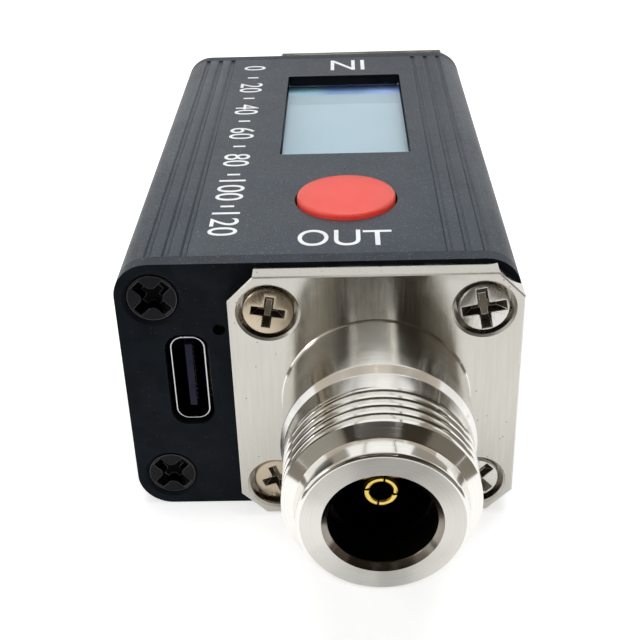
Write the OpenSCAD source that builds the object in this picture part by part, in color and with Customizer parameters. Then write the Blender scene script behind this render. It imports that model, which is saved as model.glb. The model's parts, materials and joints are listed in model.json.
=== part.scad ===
// Inline RF power meter: an extruded case with a coaxial socket at each end, a display and a push
// button on top, and a charging port beside the output socket.
// Frame: origin at the centre of the case's underside, +Z up, +Y from the output end to the input
// end, +X to the right seen from the output end. Sizes are in millimetres.

/* [Case] */
// Outside width of the case
case_w = 35.5; // [34:0.5:40]
// Outside height of the case
case_h = 26; // [26:0.5:30]
// Length of the extruded tube, between the end plates
tube_l = 56; // [54:1:70]
// Wall of the tube
case_wall = 1.5; // [1.2:0.1:1.8]
// Radius of the tube's outer corners
corner_r = 3.2; // [2.4:0.1:4]
// Thickness of an end plate
plate_t = 1.5; // [1.5:0.1:2.5]
// Width of a decorative groove
groove_w = 0.7; // [0.4:0.05:0.9]
// Width of a decorative groove's floor, between its sloping walls
groove_floor = 0.3; // [0.1:0.05:0.35]
// Depth of a decorative groove
groove_d = 0.2; // [0.1:0.05:0.5]
// Distance from one groove to the next
groove_pitch = 1.6; // [1.2:0.1:1.8]
// Distance from the case's side to the outermost groove
groove_inset = 2.95; // [2.4:0.05:3.4]
// Grooves along each long edge
groove_count = 3; // [1:1:4]

/* [Case screws] */
// Distance of the plate screws from the case's left side
plate_screw_in_x = 3.3; // [3.1:0.1:4]
// Distance of the plate screws from the top and the bottom
plate_screw_in_z = 3.4; // [3.1:0.1:4]
// Radius of a screw's shank
screw_r = 1.2; // [1:0.05:1.4]
// Depth of the plate screws' countersink
sink_depth = 1.4; // [1.2:0.1:1.5]
// Radius of a screw channel's wall in the tube
channel_r = 2.4; // [2.1:0.1:2.6]
// How far a screw reaches into its channel
channel_reach = 6.5; // [4:0.5:12]

/* [Ports] */
// Gap between the square flange and the case's top and bottom
flange_in = 0.3; // [0.2:0.05:1]
// Thickness of the flange
flange_t = 2.1; // [1.8:0.1:3]
// Corner chamfer of the flange
flange_chamfer = 2.3; // [1.5:0.1:3]
// Distance of the flange's screw holes from its edges
hole_in = 3.45; // [3.2:0.05:4]
// Radius of a flange screw's head
head_r = 2.25; // [2:0.05:2.4]
// Height of a flange screw's head
head_h = 1.2; // [0.8:0.1:1.4]
// Radius of the smooth barrel behind the thread
barrel_r = 8.3; // [8.1:0.05:8.6]
// Length of the smooth barrel in front of the flange
barrel_l = 6.9; // [4:0.1:10]
// Outer radius of the thread
thread_r = 7.94; // [7.8:0.01:8]
// Pitch of the thread
thread_pitch = 1.058; // [0.9:0.001:1.3]
// Turns of thread
thread_turns = 4; // [3:1:8]
// Plain length between the barrel's taper and the thread
plain_l = 1.85; // [1:0.05:3]
// Radius of the smooth nose in front of the thread
nose_r = 6.9; // [6.4:0.1:7.2]
// Length of the smooth nose
nose_l = 1.8; // [1:0.1:3]
// Radius of the socket's mouth
mouth_r = 4.25; // [4.25:0.05:4.5]
// Length of the socket's mouth, ahead of the centre contact
mouth_l = 3.15; // [2:0.05:3.4]
// Radius of the socket behind its mouth
socket_r = 4; // [3.8:0.05:4.05]
// Depth of the socket, from its front face
socket_depth = 9.1; // [8:0.1:10]
// Outside radius of the centre contact
contact_r = 1.52; // [1.3:0.02:1.6]
// Bore radius of the centre contact
contact_bore_r = 0.83; // [0.7:0.01:0.9]
// Distance from the socket's front face to the contact's tip
contact_in = 3.95; // [3.95:0.05:5]
// Radius of the contact's solder pin
pin_r = 0.65; // [0.5:0.05:0.9]

/* [Display and button] */
// Gap between the display's tray and the tube's right-hand screw channels
tray_gap = 0.3; // [0.2:0.05:0.8]
// Width of the display window
window_w = 13.7; // [11:0.1:14]
// Length of the display window
window_l = 25.7; // [18:0.1:27]
// Distance of the window's centre from the middle of the case, towards the input end
window_y = 7.9; // [6.5:0.1:8.2]
// Diameter of the button's cap
button_d = 9.4; // [7:0.1:10]
// Distance of the button from the middle of the case, towards the output end
button_y = 16.5; // [15:0.1:18]
// Height of the cap above the case
button_proud = 0.6; // [0.5:0.1:1.2]
// Travel of the button
button_travel = 0.3; // [0.2:0.05:0.4]
// Gap around the cap in its hole
button_gap = 0.2; // [0.15:0.05:0.4]

/* [Charging port] */
// Distance of the charging port from the middle of the strip beside the flange, towards the flange
usb_off = 0.9; // [0.5:0.05:1]
// Height of the charging port's centre above the underside
usb_z = 14.1; // [12:0.1:15]
// Long side of the charging port's shell
usb_h = 8.94; // [8.8:0.02:9.1]
// Short side of the charging port's shell
usb_w = 3.26; // [3.2:0.02:3.4]
// Depth of the charging port's shell
usb_l = 7.35; // [6:0.05:9]
// Height of the charge light's hole above the underside
led_z = 19.4; // [19.2:0.1:21]
// Radius of the charge light's hole
led_hole_r = 0.55; // [0.4:0.05:0.8]

/* [Inside] */
// Thickness of the main board
board_t = 1.6; // [1:0.1:1.6]
// Thickness of the charging board
charge_board_t = 1; // [0.8:0.1:1.2]
// Thickness of the display board
display_board_t = 1.2; // [0.8:0.1:1.6]
// Thickness of the clear window pane's rim, under the case's wall
pane_t = 1; // [0.8:0.1:1.2]
// How far the pane's raised middle stands up into the window
pane_rise = 0.5; // [0.2:0.1:0.9]
// Thickness of the display glass
glass_t = 1.4; // [1:0.1:1.6]
// Thickness of the display's reflector
reflector_t = 1.6; // [1:0.1:2]
// Gap on each side of the battery cell
battery_gap = 0.6; // [0.4:0.1:3]
// Length of the battery cell
battery_l = 34; // [24:1:36]
// Thickness of the battery cell
battery_t = 6.5; // [4:0.1:6.8]

/* [Hidden] */
$fn = 64;
eps = 0.01;
// Clearances: a seated fit, a sliding fit, and room round a part
seat = 0.02;
slip = 0.1;
room = 0.35;

// Case planes
half_w = case_w / 2;
half_tube = tube_l / 2;
end_y = half_tube + plate_t;
inner_x = half_w - case_wall;
floor_z = case_wall;
ceiling_z = case_h - case_wall;

// The flange's side, and the port axis, which makes the flange flush with the case's right side
flange_w = case_h - 2 * flange_in;
half_pitch = flange_w / 2 - hole_in;
port_x = half_w - flange_w / 2;
port_z = case_h / 2;

// Stations along a port, outwards from the end plate
taper_l = 0.85;
cone_l = 0.7;
crest_after = 0.45;
barrel_end = flange_t + barrel_l;
taper_end = barrel_end + taper_l;
thread_start = taper_end + plain_l;
thread_end = thread_start + thread_turns * thread_pitch + crest_after;
cone_end = thread_end + cone_l;
face = cone_end + nose_l;
thread_depth = 0.6134 * thread_pitch;
thread_flank = thread_depth * tan(30);
crest_flat = thread_pitch / 8;
nose_chamfer = 0.3;
mouth_chamfer = 0.5;
mouth_start = face - mouth_chamfer - mouth_l;
socket_floor = face - socket_depth;
contact_tip = face - contact_in;
contact_shoulder = 1;
contact_bore_l = 5.5;
slot_w = 0.16;
slot_turn = -12;
slot_l = 4;
core_r = 3.5;
core_recess = 1;
spigot_r = 5.2;
spigot_in = plate_t + 1;
pin_in = spigot_in + 4.5;

// Screws
hole_r = screw_r + seat;
free_r = screw_r + slip;
sink_r = hole_r + sink_depth;
sink_below = 0.2;
bore_depth = head_h + 0.1;
head_floor = flange_t - bore_depth;
bore_r = head_r + room;
bore_chamfer = 0.2;
short_reach = 1.2;
cross_depth = 0.7;
// Driver recesses: the rim left round the arms, and the arms' width
plate_cross = [0.65, 1];
corner_cross = [0.3, 0.95];
inner_cross = [0.75, 0.8];
left_x = -half_w + plate_screw_in_x;
left_screw_z = [plate_screw_in_z, case_h - plate_screw_in_z];
right_x = port_x + half_pitch;
port_screw_z = [port_z - half_pitch, port_z + half_pitch];

// Charging board, upright, with the charging port soldered to its left face
strip_x = (port_x - flange_w / 2 - half_w) / 2;
usb_x = strip_x + usb_off;
charge_x0 = usb_x + usb_w / 2;
charge_x1 = charge_x0 + charge_board_t;
charge_end = half_tube - 0.4;
usb_r = 1.2;
usb_sheet = 0.25;
usb_y0 = -end_y + 0.4;
usb_base_l = 1.6;
tongue_t = 0.7;
tongue_h = usb_h - 2.25;
tongue_in = 0.5;
usb_pins = 12;
usb_pin_pitch = 0.5;
usb_pin_w = 0.26;
usb_pin_t = 0.05;
led_size = [0.8, 1.2, 1.6];
led_x = charge_x1 + led_size[0] / 2;
led_y0 = -half_tube + 0.25;

// Main board, on the port axis, with the contacts' pins soldered to its line
line_t = 0.1;
line_w = 1.5;
main_z1 = port_z - pin_r - line_t - eps;
main_z0 = main_z1 - board_t;
main_x0 = charge_x1 + eps;
main_x1 = inner_x - 0.3;
main_end = end_y - spigot_in - 0.2;
rib_reach = 1.2;
rib_t = 0.8;
shield_half_w = 6;
shield_half_l = 14;
shield_h = 3.5;
shield_sheet = 0.25;
shield_door = [2.5, 1];

// Display stack, hung from the case's ceiling downwards
tape_t = 0.2;
pane_z1 = ceiling_z - tape_t;
pane_z0 = pane_z1 - pane_t;
pane_margin = 1.5;
window_r = 0.3;
glass_z1 = pane_z0 - 0.05;
glass_z0 = glass_z1 - glass_t;
reflector_z0 = glass_z0 - reflector_t;
glass_margin = 1.2;
frame_margin = 2.05;
frame_floor_t = 0.5;
panel_x = right_x - channel_r - tray_gap - frame_margin - window_w / 2;
board_edge = 0.3;
display_z1 = reflector_z0 - frame_floor_t;
display_z0 = display_z1 - display_board_t;
display_x0 = panel_x - window_w / 2 - frame_margin - board_edge;
display_x1 = panel_x + window_w / 2 + frame_margin;
display_end = half_tube - 1;

// Spacers between the two boards
spacer_r = 1.75;
spacer_bore_r = 0.85;
spacer_screw_r = 0.8;
spacer_head_r = 1.6;
spacer_head_h = 0.9;
spacer_screw_reach = 2.4;
spacer_in = spacer_r + slip;
spacer_x = [display_x0 + spacer_in, display_x1 - spacer_in];
spacer_y = [-display_end + spacer_in, display_end - spacer_in];
plug_w = 2.5;
plug_l = 15;
plug_h = 3;
plug_in = 1;
plug_x = display_x0 + plug_in + plug_w / 2;

// Button and the switch under it
collar_r = button_d / 2 + 0.9;
collar_t = 0.9;
collar_z1 = ceiling_z - 0.3;
collar_z0 = collar_z1 - collar_t;
cap_z1 = case_h + button_proud;
cap_round = 0.5;
cap_socket = 0.8;
switch_w = 6;
switch_h = 1.8;
switch_floor = 0.4;
switch_well_r = 2.4;
cover_t = 0.2;
cover_hole_r = 1.9;
dome_r = 2.25;
dome_left = 0.2;
dome_h = button_travel + dome_left;
dome_t = 0.1;
dome_ball = (dome_r * dome_r + dome_h * dome_h) / (2 * dome_h);
dome_z0 = display_z1 + switch_floor;
stem_r = 1.7;
stem_foot_r = 2.1;
stem_foot_h = 0.7;
stem_z0 = dome_z0 + dome_h + seat;
stem_z1 = collar_z0 + cap_socket;

// Chips
controller_w = 7;
controller_t = 1;
detector_w = 3;
detector_t = 0.9;
charger_size = [1.1, 5, 4];
charger_up = 1.5;

// Battery on the floor, under the main board
pad_t = 0.5;
pad_margin = 2;
battery_z0 = floor_z + pad_t;
battery_x0 = charge_x1 + slip + rib_t + battery_gap;
battery_x1 = right_x - channel_r - battery_gap;
battery_w = battery_x1 - battery_x0;
battery_x = (battery_x0 + battery_x1) / 2;
battery_y0 = -battery_l / 2;
lead_r = 0.5;
lead_bend = 1.6;
lead_run = 1;
lead_z = [battery_z0 + battery_t * 0.35, battery_z0 + battery_t * 0.65];
lead_x = battery_x - battery_w * 0.3;

// Colours of the finishes
anodised = "#2b2f35";
nickel = "#c9c6c0";
gold = "#d9a640";
black_steel = "#1c1d20";
dark_resin = "#3a3129";
board_green = "#1f5b3a";
chip_black = "#26272a";
coral = "#e8503f";

// A box between two corners
module block(low, high) {
    translate(low) cube(high - low);
}

// A rectangle between two corners
module square_from(low, high) {
    translate(low) square(high - low);
}

// A rectangle with round corners, centred on the origin
module rounded_rect(w, h, r) {
    square([w - 2 * r, h], center = true);
    square([w, h - 2 * r], center = true);
    for (sx = [-1, 1], sy = [-1, 1])
        translate([sx * (w / 2 - r), sy * (h / 2 - r)]) circle(r);
}

// Extrudes a section drawn in X and Z along Y
module along_y(y0, y1) {
    translate([0, y1, 0]) rotate([90, 0, 0]) linear_extrude(y1 - y0) children();
}

// Places children on the output end's outer face at (x, z), their +Z pointing outwards
module at_out(x = 0, z = 0) {
    translate([x, -end_y, z]) rotate([90, 0, 0]) children();
}

// The same at the input end
module at_in(x = 0, z = 0) {
    mirror([0, 1, 0]) at_out(x, z) children();
}

// The same at both ends
module at_both_ends(x = 0, z = 0) {
    at_out(x, z) children();
    at_in(x, z) children();
}

module case_outline() {
    translate([0, case_h / 2]) rounded_rect(case_w, case_h, corner_r);
}

module case_cavity() {
    translate([0, case_h / 2])
        rounded_rect(case_w - 2 * case_wall, case_h - 2 * case_wall, corner_r - case_wall);
}

// The solid corner of the tube around a screw channel
module channel_wall(x, z) {
    corner = [sign(x) * half_w, z < case_h / 2 ? 0 : case_h];
    translate([x, z]) circle(channel_r);
    translate([min(x, corner[0]), min(z, corner[1])])
        square([abs(corner[0] - x), abs(corner[1] - z)]);
}

// Two ribs on the right wall that the main board slides between
module main_board_ribs() {
    for (z = [main_z0 - slip - rib_t, main_z1 + slip])
        translate([inner_x - rib_reach, z]) square([rib_reach + case_wall / 2, rib_t]);
}

// Two ribs on the floor and two on the ceiling that the charging board slides between
module charging_board_ribs() {
    for (x = [charge_x0 - slip - rib_t, charge_x1 + slip])
        for (z = [floor_z - case_wall / 2, ceiling_z - rib_reach])
            translate([x, z]) square([rib_t, rib_reach + case_wall / 2]);
}

// The grooves' sections, each mirrored about the face that it is cut into
module grooves() {
    half_floor = groove_floor / 2;
    for (i = [0 : groove_count - 1], side = [-1, 1], z = [0, case_h])
        translate([side * (half_w - groove_inset - i * groove_pitch), z])
            polygon([
                [-groove_w / 2, 0], [-half_floor, -groove_d], [half_floor, -groove_d],
                [groove_w / 2, 0], [half_floor, groove_d], [-half_floor, groove_d]
            ]);
}

module case_section() {
    difference() {
        union() {
            difference() {
                case_outline();
                case_cavity();
            }
            intersection() {
                case_outline();
                union() {
                    for (z = left_screw_z) channel_wall(left_x, z);
                    for (z = port_screw_z) channel_wall(right_x, z);
                }
            }
            main_board_ribs();
            charging_board_ribs();
        }
        grooves();
        for (z = left_screw_z) translate([left_x, z]) circle(hole_r);
        for (z = port_screw_z) translate([right_x, z]) circle(hole_r);
    }
}

module case_tube() {
    color(anodised)
    difference() {
        along_y(-half_tube, half_tube) case_section();
        translate([panel_x, window_y, ceiling_z - case_wall])
            linear_extrude(3 * case_wall) rounded_rect(window_w, window_l, window_r);
        translate([panel_x, -button_y, ceiling_z - case_wall])
            cylinder(r = button_d / 2 + button_gap, h = 3 * case_wall);
    }
}

// An end plate at the output end, with the holes that both plates have
module plate_blank() {
    difference() {
        along_y(-end_y, -half_tube) case_outline();
        at_out(port_x, port_z)
            translate([0, 0, -2 * plate_t]) cylinder(r = spigot_r + slip, h = 3 * plate_t);
        for (z = left_screw_z)
            at_out(left_x, z) {
                translate([0, 0, -sink_depth]) cylinder(r1 = hole_r, r2 = sink_r, h = sink_depth);
                translate([0, 0, -2 * plate_t]) cylinder(r = hole_r, h = 2 * plate_t);
            }
        for (z = port_screw_z) {
            at_out(right_x, z) translate([0, 0, -2 * plate_t]) cylinder(r = free_r, h = 3 * plate_t);
            at_out(port_x - half_pitch, z)
                translate([0, 0, -2 * plate_t]) cylinder(r = hole_r, h = 3 * plate_t);
        }
    }
}

module front_end_plate() {
    color(anodised)
    difference() {
        plate_blank();
        at_out(usb_x, usb_z)
            translate([0, 0, -2 * plate_t])
                linear_extrude(3 * plate_t)
                    rounded_rect(usb_w + 2 * room, usb_h + 2 * room, usb_r + room);
        at_out(led_x, led_z) translate([0, 0, -2 * plate_t]) cylinder(r = led_hole_r, h = 3 * plate_t);
    }
}

module rear_end_plate() {
    color(anodised) mirror([0, 1, 0]) plate_blank();
}

// A cross-shaped driver recess in a head of radius r, cut down from z = 0
module cross_recess(r, cross) {
    reach = r - cross[0];
    half = cross[1] / 2;
    for (a = [0, 90])
        rotate([0, 0, a]) block([-reach, -half, -cross_depth], [reach, half, 1]);
}

// A countersunk screw with its head just below the plate's face
module plate_screw() {
    head_top_r = sink_r - sink_below - seat;
    tip = plate_t + channel_reach;
    difference() {
        rotate_extrude()
            polygon([
                [0, -tip], [screw_r, -tip], [screw_r, screw_r + seat - sink_r],
                [head_top_r, -sink_below], [0, -sink_below]
            ]);
        translate([0, 0, -sink_below]) rotate([0, 0, 45]) cross_recess(head_top_r, plate_cross);
    }
}

module plate_screws() {
    color(black_steel) for (z = left_screw_z) at_both_ends(left_x, z) plate_screw();
}

// A flat-headed screw sunk in the flange, its shank reaching inwards from the plate's face
module flange_screw(reach, turn, cross) {
    top = head_floor + head_h;
    edge = 0.2;
    difference() {
        rotate_extrude()
            polygon([
                [0, -reach], [screw_r, -reach], [screw_r, head_floor], [head_r, head_floor],
                [head_r, top - edge], [head_r - edge, top], [0, top]
            ]);
        translate([0, 0, top]) rotate([0, 0, turn]) cross_recess(head_r, cross);
    }
}

// The right-hand screws of each flange pass through the plate into the tube
module corner_screws() {
    color(nickel)
    for (i = [0, 1])
        at_both_ends(right_x, port_screw_z[i])
            flange_screw(plate_t + channel_reach, 45 - 35 * i, corner_cross);
}

// The left-hand screws of each flange are held by the plate's own thread
module flange_screws() {
    color(nickel)
    for (i = [0, 1])
        at_both_ends(port_x - half_pitch, port_screw_z[i])
            flange_screw(plate_t + short_reach, 20 - 30 * i, inner_cross);
}

// Square flange with chamfered corners, between the plate's face and z = flange_t
module flange_plate() {
    h = flange_w / 2;
    c = h - flange_chamfer;
    difference() {
        linear_extrude(flange_t)
            polygon([[h, c], [c, h], [-c, h], [-h, c], [-h, -c], [-c, -h], [c, -h], [h, -c]]);
        for (sx = [-1, 1], sz = [-1, 1])
            translate([sx * half_pitch, sz * half_pitch, 0]) {
                translate([0, 0, -1]) cylinder(r = free_r, h = flange_t + 2);
                translate([0, 0, head_floor]) cylinder(r = bore_r, h = flange_t);
                translate([0, 0, flange_t - bore_chamfer])
                    cylinder(r1 = bore_r, r2 = bore_r + 2 * bore_chamfer, h = 2 * bore_chamfer);
            }
    }
}

// Outline of the threaded stretch, as rings: a crest, a flank down, a root and a flank up
thread_points = [
    for (i = [0 : thread_turns - 1])
        let (z = thread_start + i * thread_pitch, root = thread_r - thread_depth)
            let (end = z + thread_pitch - crest_flat)
                each [[thread_r, z], [root, z + thread_flank], [root, end - thread_flank], [thread_r, end]]
];

// Barrel, thread and nose, with the spigot that passes through the end plate
module barrel() {
    rotate_extrude()
        polygon(concat(
            [[0, -spigot_in], [spigot_r, -spigot_in], [spigot_r, 0], [barrel_r, 0], [barrel_r, barrel_end],
             [thread_r, taper_end]],
            thread_points,
            [[thread_r, thread_end], [nose_r, cone_end], [nose_r, face - nose_chamfer],
             [nose_r - nose_chamfer, face], [0, face]]
        ));
}

// The hollow of a socket: the insulator's seat, the socket, its mouth and the mouth's chamfer
module socket_hollow() {
    translate([0, 0, -spigot_in - 1]) cylinder(r = core_r, h = spigot_in + socket_floor + 2);
    translate([0, 0, socket_floor]) cylinder(r = socket_r, h = mouth_start - socket_floor + 1);
    translate([0, 0, mouth_start]) cylinder(r = mouth_r, h = face - mouth_start + 1);
    translate([0, 0, face - mouth_chamfer])
        cylinder(r1 = mouth_r, r2 = mouth_r + 2 * mouth_chamfer, h = 2 * mouth_chamfer);
}

module connector_body() {
    color(nickel)
    difference() {
        union() {
            flange_plate();
            barrel();
        }
        socket_hollow();
    }
}

module insulator() {
    color(dark_resin)
    difference() {
        translate([0, 0, -spigot_in])
            cylinder(r = core_r - seat, h = spigot_in + socket_floor - core_recess);
        translate([0, 0, contact_shoulder - seat]) cylinder(r = contact_r + seat, h = socket_floor);
        translate([0, 0, -spigot_in - 1]) cylinder(r = pin_r + seat, h = spigot_in + 2 + contact_shoulder);
    }
}

// A slotted socket contact in front, a solder pin behind
module contact() {
    color(gold)
    difference() {
        rotate_extrude()
            polygon([
                [0, -pin_in], [pin_r, -pin_in], [pin_r, contact_shoulder], [contact_r, contact_shoulder],
                [contact_r, contact_tip - 0.2], [contact_r - 0.2, contact_tip], [0, contact_tip]
            ]);
        translate([0, 0, contact_tip - contact_bore_l])
            cylinder(r = contact_bore_r, h = contact_bore_l + 1);
        for (a = [slot_turn, slot_turn + 90])
            rotate([0, 0, a])
                translate([-2 * contact_r, -slot_w / 2, contact_tip - slot_l])
                    cube([4 * contact_r, slot_w, slot_l + 1]);
    }
}

module out_connector_body() { at_out(port_x, port_z) connector_body(); }
module out_insulator() { at_out(port_x, port_z) insulator(); }
module out_contact() { at_out(port_x, port_z) contact(); }
module in_connector_body() { at_in(port_x, port_z) connector_body(); }
module in_insulator() { at_in(port_x, port_z) insulator(); }
module in_contact() { at_in(port_x, port_z) contact(); }

// A flat piece of the display stack, larger than the window by a margin
module display_layer(margin, z0, z1) {
    half = [window_w / 2 + margin, window_l / 2 + margin];
    block([panel_x - half[0], window_y - half[1], z0], [panel_x + half[0], window_y + half[1], z1]);
}

module window_tape() {
    color(chip_black)
    difference() {
        display_layer(pane_margin, pane_z1, ceiling_z);
        display_layer(0.2, pane_z1 - 1, ceiling_z + 1);
    }
}

// The pane: a rim that the tape holds under the wall, and a middle raised into the window
module display_window() {
    color("#dfe8ec", 0.5) {
        display_layer(pane_margin, pane_z0, pane_z1);
        translate([panel_x, window_y, pane_z0])
            linear_extrude(ceiling_z + pane_rise - pane_z0)
                rounded_rect(window_w - 2 * slip, window_l - 2 * slip, window_r);
    }
}

module lcd_glass() {
    color("#b8ced8") display_layer(glass_margin, glass_z0, glass_z1);
}

module lcd_reflector() {
    color("#e8eef0") display_layer(glass_margin, reflector_z0, glass_z0);
}

// The tray that holds the glass and its reflector on the board, kept clear of the spacers' screw heads
module lcd_frame() {
    color(chip_black)
    difference() {
        display_layer(frame_margin, display_z1, glass_z1);
        display_layer(glass_margin + slip, reflector_z0, glass_z1 + 1);
        for (x = spacer_x, y = spacer_y)
            translate([x, y, display_z1 - 1])
                cylinder(r = spacer_head_r + room, h = spacer_head_h + room + 1);
    }
}

module display_board() {
    color(board_green)
    difference() {
        block([display_x0, -display_end, display_z0], [display_x1, display_end, display_z1]);
        for (x = spacer_x, y = spacer_y)
            translate([x, y, display_z0 - 1]) cylinder(r = spacer_bore_r, h = display_board_t + 2);
    }
}

module controller_chip() {
    half = controller_w / 2;
    color(chip_black)
    block([panel_x - half, window_y - half, display_z0 - controller_t],
          [panel_x + half, window_y + half, display_z0]);
}

module board_spacers() {
    color(gold)
    for (x = spacer_x, y = spacer_y)
        translate([x, y, main_z1])
            difference() {
                cylinder(r = spacer_r, h = display_z0 - main_z1);
                translate([0, 0, -1]) cylinder(r = spacer_bore_r, h = display_z0 - main_z1 + 2);
            }
}

// A small pan-headed screw, its head seated on z = 0 and its shank pointing down
module board_screw(grip) {
    length = grip + spacer_screw_reach;
    translate([0, 0, -length]) cylinder(r = spacer_screw_r, h = length);
    cylinder(r = spacer_head_r, h = spacer_head_h);
}

module spacer_screws() {
    color(nickel)
    for (x = spacer_x, y = spacer_y) {
        translate([x, y, display_z1]) board_screw(display_board_t);
        translate([x, y, main_z0]) mirror([0, 0, 1]) board_screw(board_t);
    }
}

// A block of the connector between the two boards
module plug_block(z0, z1) {
    color(chip_black)
    block([plug_x - plug_w / 2, -plug_l / 2, z0], [plug_x + plug_w / 2, plug_l / 2, z1]);
}

module board_plug() { plug_block(main_z1, main_z1 + plug_h); }
module board_socket() { plug_block(main_z1 + plug_h, display_z0); }

module main_board() {
    color(board_green)
    difference() {
        block([main_x0, -main_end, main_z0], [main_x1, main_end, main_z1]);
        for (x = spacer_x, y = spacer_y)
            translate([x, y, main_z0 - 1]) cylinder(r = spacer_bore_r, h = board_t + 2);
    }
}

// The copper line between the two centre contacts
module coupler_line() {
    color("#c47a3d")
    block([port_x - line_w / 2, -main_end, main_z1], [port_x + line_w / 2, main_end, main_z1 + line_t]);
}

// A sheet-metal lid over the coupler, open below, with a doorway for the line at each end
module shield_can() {
    inner = [shield_half_w - shield_sheet, shield_half_l - shield_sheet];
    color(nickel)
    difference() {
        block([port_x - shield_half_w, -shield_half_l, main_z1],
              [port_x + shield_half_w, shield_half_l, main_z1 + shield_h]);
        block([port_x - inner[0], -inner[1], main_z1 - 1],
              [port_x + inner[0], inner[1], main_z1 + shield_h - shield_sheet]);
        block([port_x - shield_door[0] / 2, -shield_half_l - 1, main_z1 - 1],
              [port_x + shield_door[0] / 2, shield_half_l + 1, main_z1 + shield_door[1]]);
    }
}

module detector_chips() {
    half = detector_w / 2;
    color(chip_black)
    for (side = [-1, 1])
        translate([port_x + shield_half_w / 2, side * shield_half_l / 2, main_z1])
            block([-half, -half, 0], [half, half, detector_t]);
}

module charging_board() {
    color(board_green)
    block([charge_x0, -charge_end, floor_z + slip], [charge_x1, charge_end, ceiling_z - slip]);
}

module charger_chip() {
    color(chip_black)
    translate([charge_x1, -half_tube + usb_l, main_z1 + charger_up]) cube(charger_size);
}

module charge_led() {
    color("#e9e4d2")
    translate([charge_x1, led_y0, led_z - led_size[2] / 2]) cube(led_size);
}

// The charging port's outline, shrunk by an inset all round
module usb_outline(inset) {
    rounded_rect(usb_w - 2 * inset, usb_h - 2 * inset, usb_r - inset);
}

module usb_shell() {
    color(nickel)
    translate([usb_x, 0, usb_z])
        along_y(usb_y0, usb_y0 + usb_l)
            difference() {
                usb_outline(0);
                usb_outline(usb_sheet);
            }
}

// The moulded base that closes the shell at the back, and the tongue that carries the contacts
module usb_tongue() {
    color(chip_black)
    translate([usb_x, 0, usb_z]) {
        along_y(usb_y0 + usb_l - usb_base_l, usb_y0 + usb_l) usb_outline(usb_sheet + seat);
        block([-tongue_t / 2, usb_y0 + tongue_in, -tongue_h / 2],
              [tongue_t / 2, usb_y0 + usb_l - usb_base_l + eps, tongue_h / 2]);
    }
}

module usb_contacts() {
    y0 = usb_y0 + tongue_in + 0.4;
    y1 = usb_y0 + usb_l - usb_base_l;
    color(gold)
    for (i = [0 : usb_pins - 1], side = [0, 1])
        translate([usb_x, 0, usb_z + (i - (usb_pins - 1) / 2) * usb_pin_pitch])
            mirror([side, 0, 0])
                block([tongue_t / 2, y0, -usb_pin_w / 2], [tongue_t / 2 + usb_pin_t, y1, usb_pin_w / 2]);
}

module battery_cell() {
    color("#8d949c")
    translate([battery_x, 0, battery_z0 + battery_t / 2])
        along_y(battery_y0, battery_y0 + battery_l) rounded_rect(battery_w, battery_t, battery_t * 0.3);
}

module battery_pad() {
    color("#d8d2c0")
    block([battery_x0 + pad_margin, battery_y0 + pad_margin, floor_z],
          [battery_x1 - pad_margin, battery_y0 + battery_l - pad_margin, battery_z0]);
}

// A lead out of the cell's end, round one bend and across to the charging board
module battery_lead(z) {
    bend_x = lead_x - lead_bend;
    bend_y = battery_y0 - lead_run;
    translate([lead_x, battery_y0, z]) rotate([90, 0, 0]) cylinder(r = lead_r, h = lead_run);
    translate([bend_x, bend_y, z])
        rotate([0, 0, -90]) rotate_extrude(angle = 90) translate([lead_bend, 0]) circle(lead_r);
    translate([charge_x1, bend_y - lead_bend, z])
        rotate([0, 90, 0]) cylinder(r = lead_r, h = bend_x - charge_x1);
}

module battery_leads() {
    color("#b3352c") for (z = lead_z) battery_lead(z);
}

// A round cap with a collar that stops it under the case's wall
module button_cap() {
    r = button_d / 2;
    color(coral)
    translate([panel_x, -button_y, 0])
        difference() {
            rotate_extrude() {
                square_from([0, collar_z0], [collar_r, collar_z1]);
                square_from([0, collar_z1 - eps], [r, cap_z1 - cap_round]);
                square_from([0, cap_z1 - cap_round - eps], [r - cap_round, cap_z1]);
                translate([r - cap_round, cap_z1 - cap_round])
                    intersection() {
                        circle(cap_round);
                        square(cap_round);
                    }
            }
            translate([0, 0, collar_z0 - 1]) cylinder(r = stem_r + seat, h = cap_socket + 1);
        }
}

// The switch's plunger: a foot inside the switch and a post pressed into the cap
module switch_stem() {
    color("#c9c3b4")
    translate([panel_x, -button_y, 0]) {
        translate([0, 0, stem_z0]) cylinder(r = stem_foot_r, h = stem_foot_h);
        translate([0, 0, stem_z0]) cylinder(r = stem_r, h = stem_z1 - stem_z0);
    }
}

module switch_housing() {
    color(chip_black)
    translate([panel_x, -button_y, display_z1])
        difference() {
            translate([-switch_w / 2, -switch_w / 2, 0]) cube([switch_w, switch_w, switch_h]);
            translate([0, 0, switch_floor]) cylinder(r = switch_well_r, h = switch_h);
        }
}

module switch_cover() {
    color(nickel)
    translate([panel_x, -button_y, display_z1 + switch_h])
        difference() {
            translate([-switch_w / 2, -switch_w / 2, 0]) cube([switch_w, switch_w, cover_t]);
            translate([0, 0, -1]) cylinder(r = cover_hole_r, h = cover_t + 2);
        }
}

// The snap dome under the stem
module switch_dome() {
    color(nickel)
    translate([panel_x, -button_y, dome_z0])
        rotate_extrude()
            intersection() {
                translate([0, dome_h - dome_ball])
                    difference() {
                        circle(dome_ball);
                        circle(dome_ball - dome_t);
                    }
                square([dome_r, dome_h + 1]);
            }
}

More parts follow.
